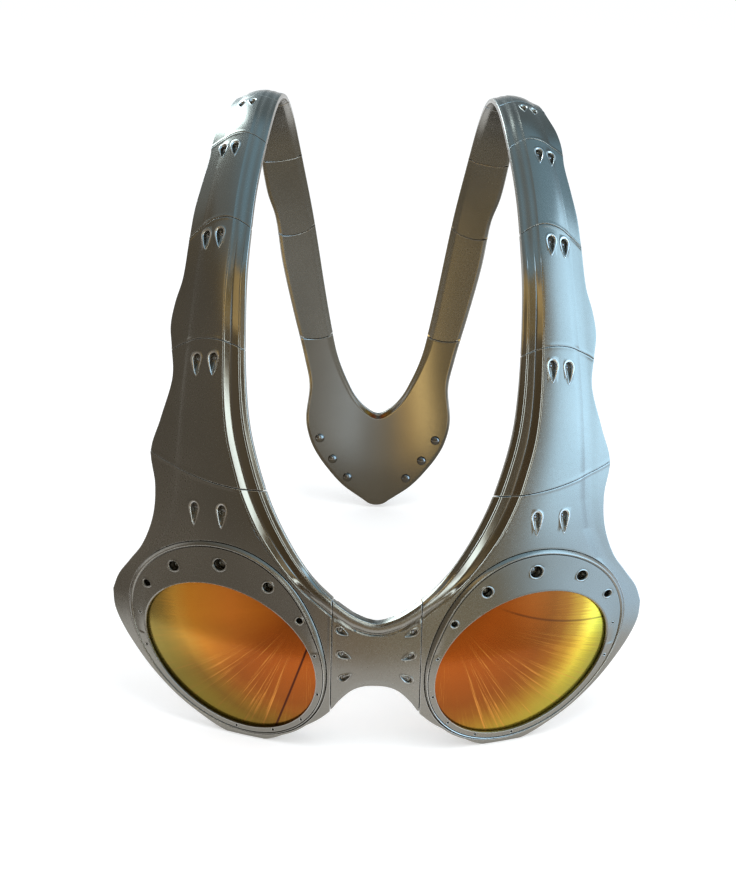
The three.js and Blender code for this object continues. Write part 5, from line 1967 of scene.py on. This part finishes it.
# Cards that go round the object: inner and outer radius, low and high edge, and colour stops by the turn
# from the front in degrees, to the left below zero and to the right above it.
ROUND_CARDS = {
    "backdrop": (0.8, 0.8, 0.0, 0.62, [
        (-100, (0.24, 0.22, 0.19)), (-50, (0.24, 0.215, 0.18)), (-28, (0.26, 0.22, 0.16)),
        (-20, (0.2, 0.155, 0.09)), (-3, (0.16, 0.11, 0.06)), (4, (0.2, 0.16, 0.1)), (8, (2.2, 2.4, 2.5)),
        (11, (4.1, 4.8, 5.1)), (15, (3.7, 4.3, 4.5)), (18, (0.7, 0.6, 0.42)), (21, (0.26, 0.22, 0.15)),
        (28, (0.24, 0.2, 0.14)), (33, (0.6, 0.5, 0.35)), (38, (0.5, 0.45, 0.36)), (46, (0.6, 0.6, 0.55)),
        (52, (1.7, 2.6, 3.5)), (75, (2.2, 3.5, 4.8)), (100, (1.9, 3.0, 4.1)),
    ]),
    "backdrop_top": (0.8, 0.8, 0.62, 0.95, [
        (-100, (0.24, 0.21, 0.16)), (-50, (0.24, 0.2, 0.14)), (-38, (0.4, 0.3, 0.15)),
        (-26, (1.2, 0.88, 0.4)), (-8, (1.4, 1.0, 0.45)), (2, (0.4, 0.3, 0.16)), (12, (0.6, 0.5, 0.3)),
        (24, (0.5, 0.37, 0.16)), (32, (0.8, 0.6, 0.28)), (40, (0.5, 0.45, 0.36)),
        (48, (1.4, 2.1, 2.8)), (75, (2.3, 3.6, 4.9)), (100, (1.9, 3.0, 4.1)),
    ]),
    "floor_ring": (0.15, 0.8, 0.001, 0.001, [
        (-120, (0.3, 0.27, 0.24)), (-40, (0.32, 0.29, 0.25)), (-20, (0.36, 0.33, 0.3)),
        (-6, (0.6, 0.47, 0.33)), (5, (0.55, 0.47, 0.33)), (35, (0.5, 0.44, 0.3)),
        (52, (1.2, 1.65, 2.1)), (66, (1.4, 1.95, 2.6)), (90, (1.1, 1.5, 2.0)), (120, (1.0, 1.2, 1.4)),
    ]),
}


def glowing(way, tree, material, stops):
    """Gives a material only light of its own, whose colour follows stops along a way from 0 to 1."""
    glow = tree.nodes.new("ShaderNodeEmission")
    tree.links.new(ramp(tree, way, stops), glow.inputs["Color"])
    tree.links.new(glow.outputs["Emission"], tree.nodes["Material Output"].inputs["Surface"])
    return material


def reflected_only(piece):
    """Hides a piece of the set from the camera, from matt surfaces and from shadows."""
    piece.visible_camera = False
    piece.visible_diffuse = False
    piece.visible_shadow = False
    return piece


def set_place(name):
    """A blank material, its tree, and the X, Y and Z of its own place."""
    material, tree, _, spot = blank_material(name)
    parts = tree.nodes.new("ShaderNodeSeparateXYZ")
    tree.links.new(spot, parts.inputs["Vector"])
    return material, tree, parts.outputs


def card(name, corner, first, second, stops):
    """A flat grid from a corner along two sides; its light follows colour stops along the first side."""
    share = np.linspace(0, 1, 9)
    grid = np.array(corner) + share[:, None, None] * np.array(first)
    grid = grid + share[None, :, None] * np.array(second)
    material, tree, spot = set_place(name)
    axis = int(np.argmax(np.abs(first)))
    way = remap(tree, spot[axis], corner[axis], corner[axis] + first[axis])
    return reflected_only(stage_grid(name, *sheet(grid), glowing(way, tree, material, stops)))


def round_card(name, near, far, low, high, stops):
    """A band round the object from the first to the last turn; its light follows the turn."""
    first, last = stops[0][0], stops[-1][0]
    turn = np.radians(np.linspace(first, last, 97))[:, None]
    share = np.linspace(0, 1, 5)
    radius = mix(near, far, share) + 0 * turn
    height = mix(low, high, share) + 0 * turn
    grid = np.stack([radius * np.sin(turn), -radius * np.cos(turn), height], axis=-1)
    material, tree, spot = set_place(name)
    front = math(tree, spot["Y"], -1.0)
    way = remap(tree, math(tree, spot["X"], front, "ARCTAN2"), np.radians(first), np.radians(last))
    shares = [((degrees - first) / (last - first), colour) for degrees, colour in stops]
    return reflected_only(stage_grid(name, *sheet(grid), glowing(way, tree, material, shares)))


for name, values in CARDS.items():
    card(name, *values)
for name, values in ROUND_CARDS.items():
    round_card(name, *values)
print("cards:", ", ".join([*CARDS, *ROUND_CARDS]))
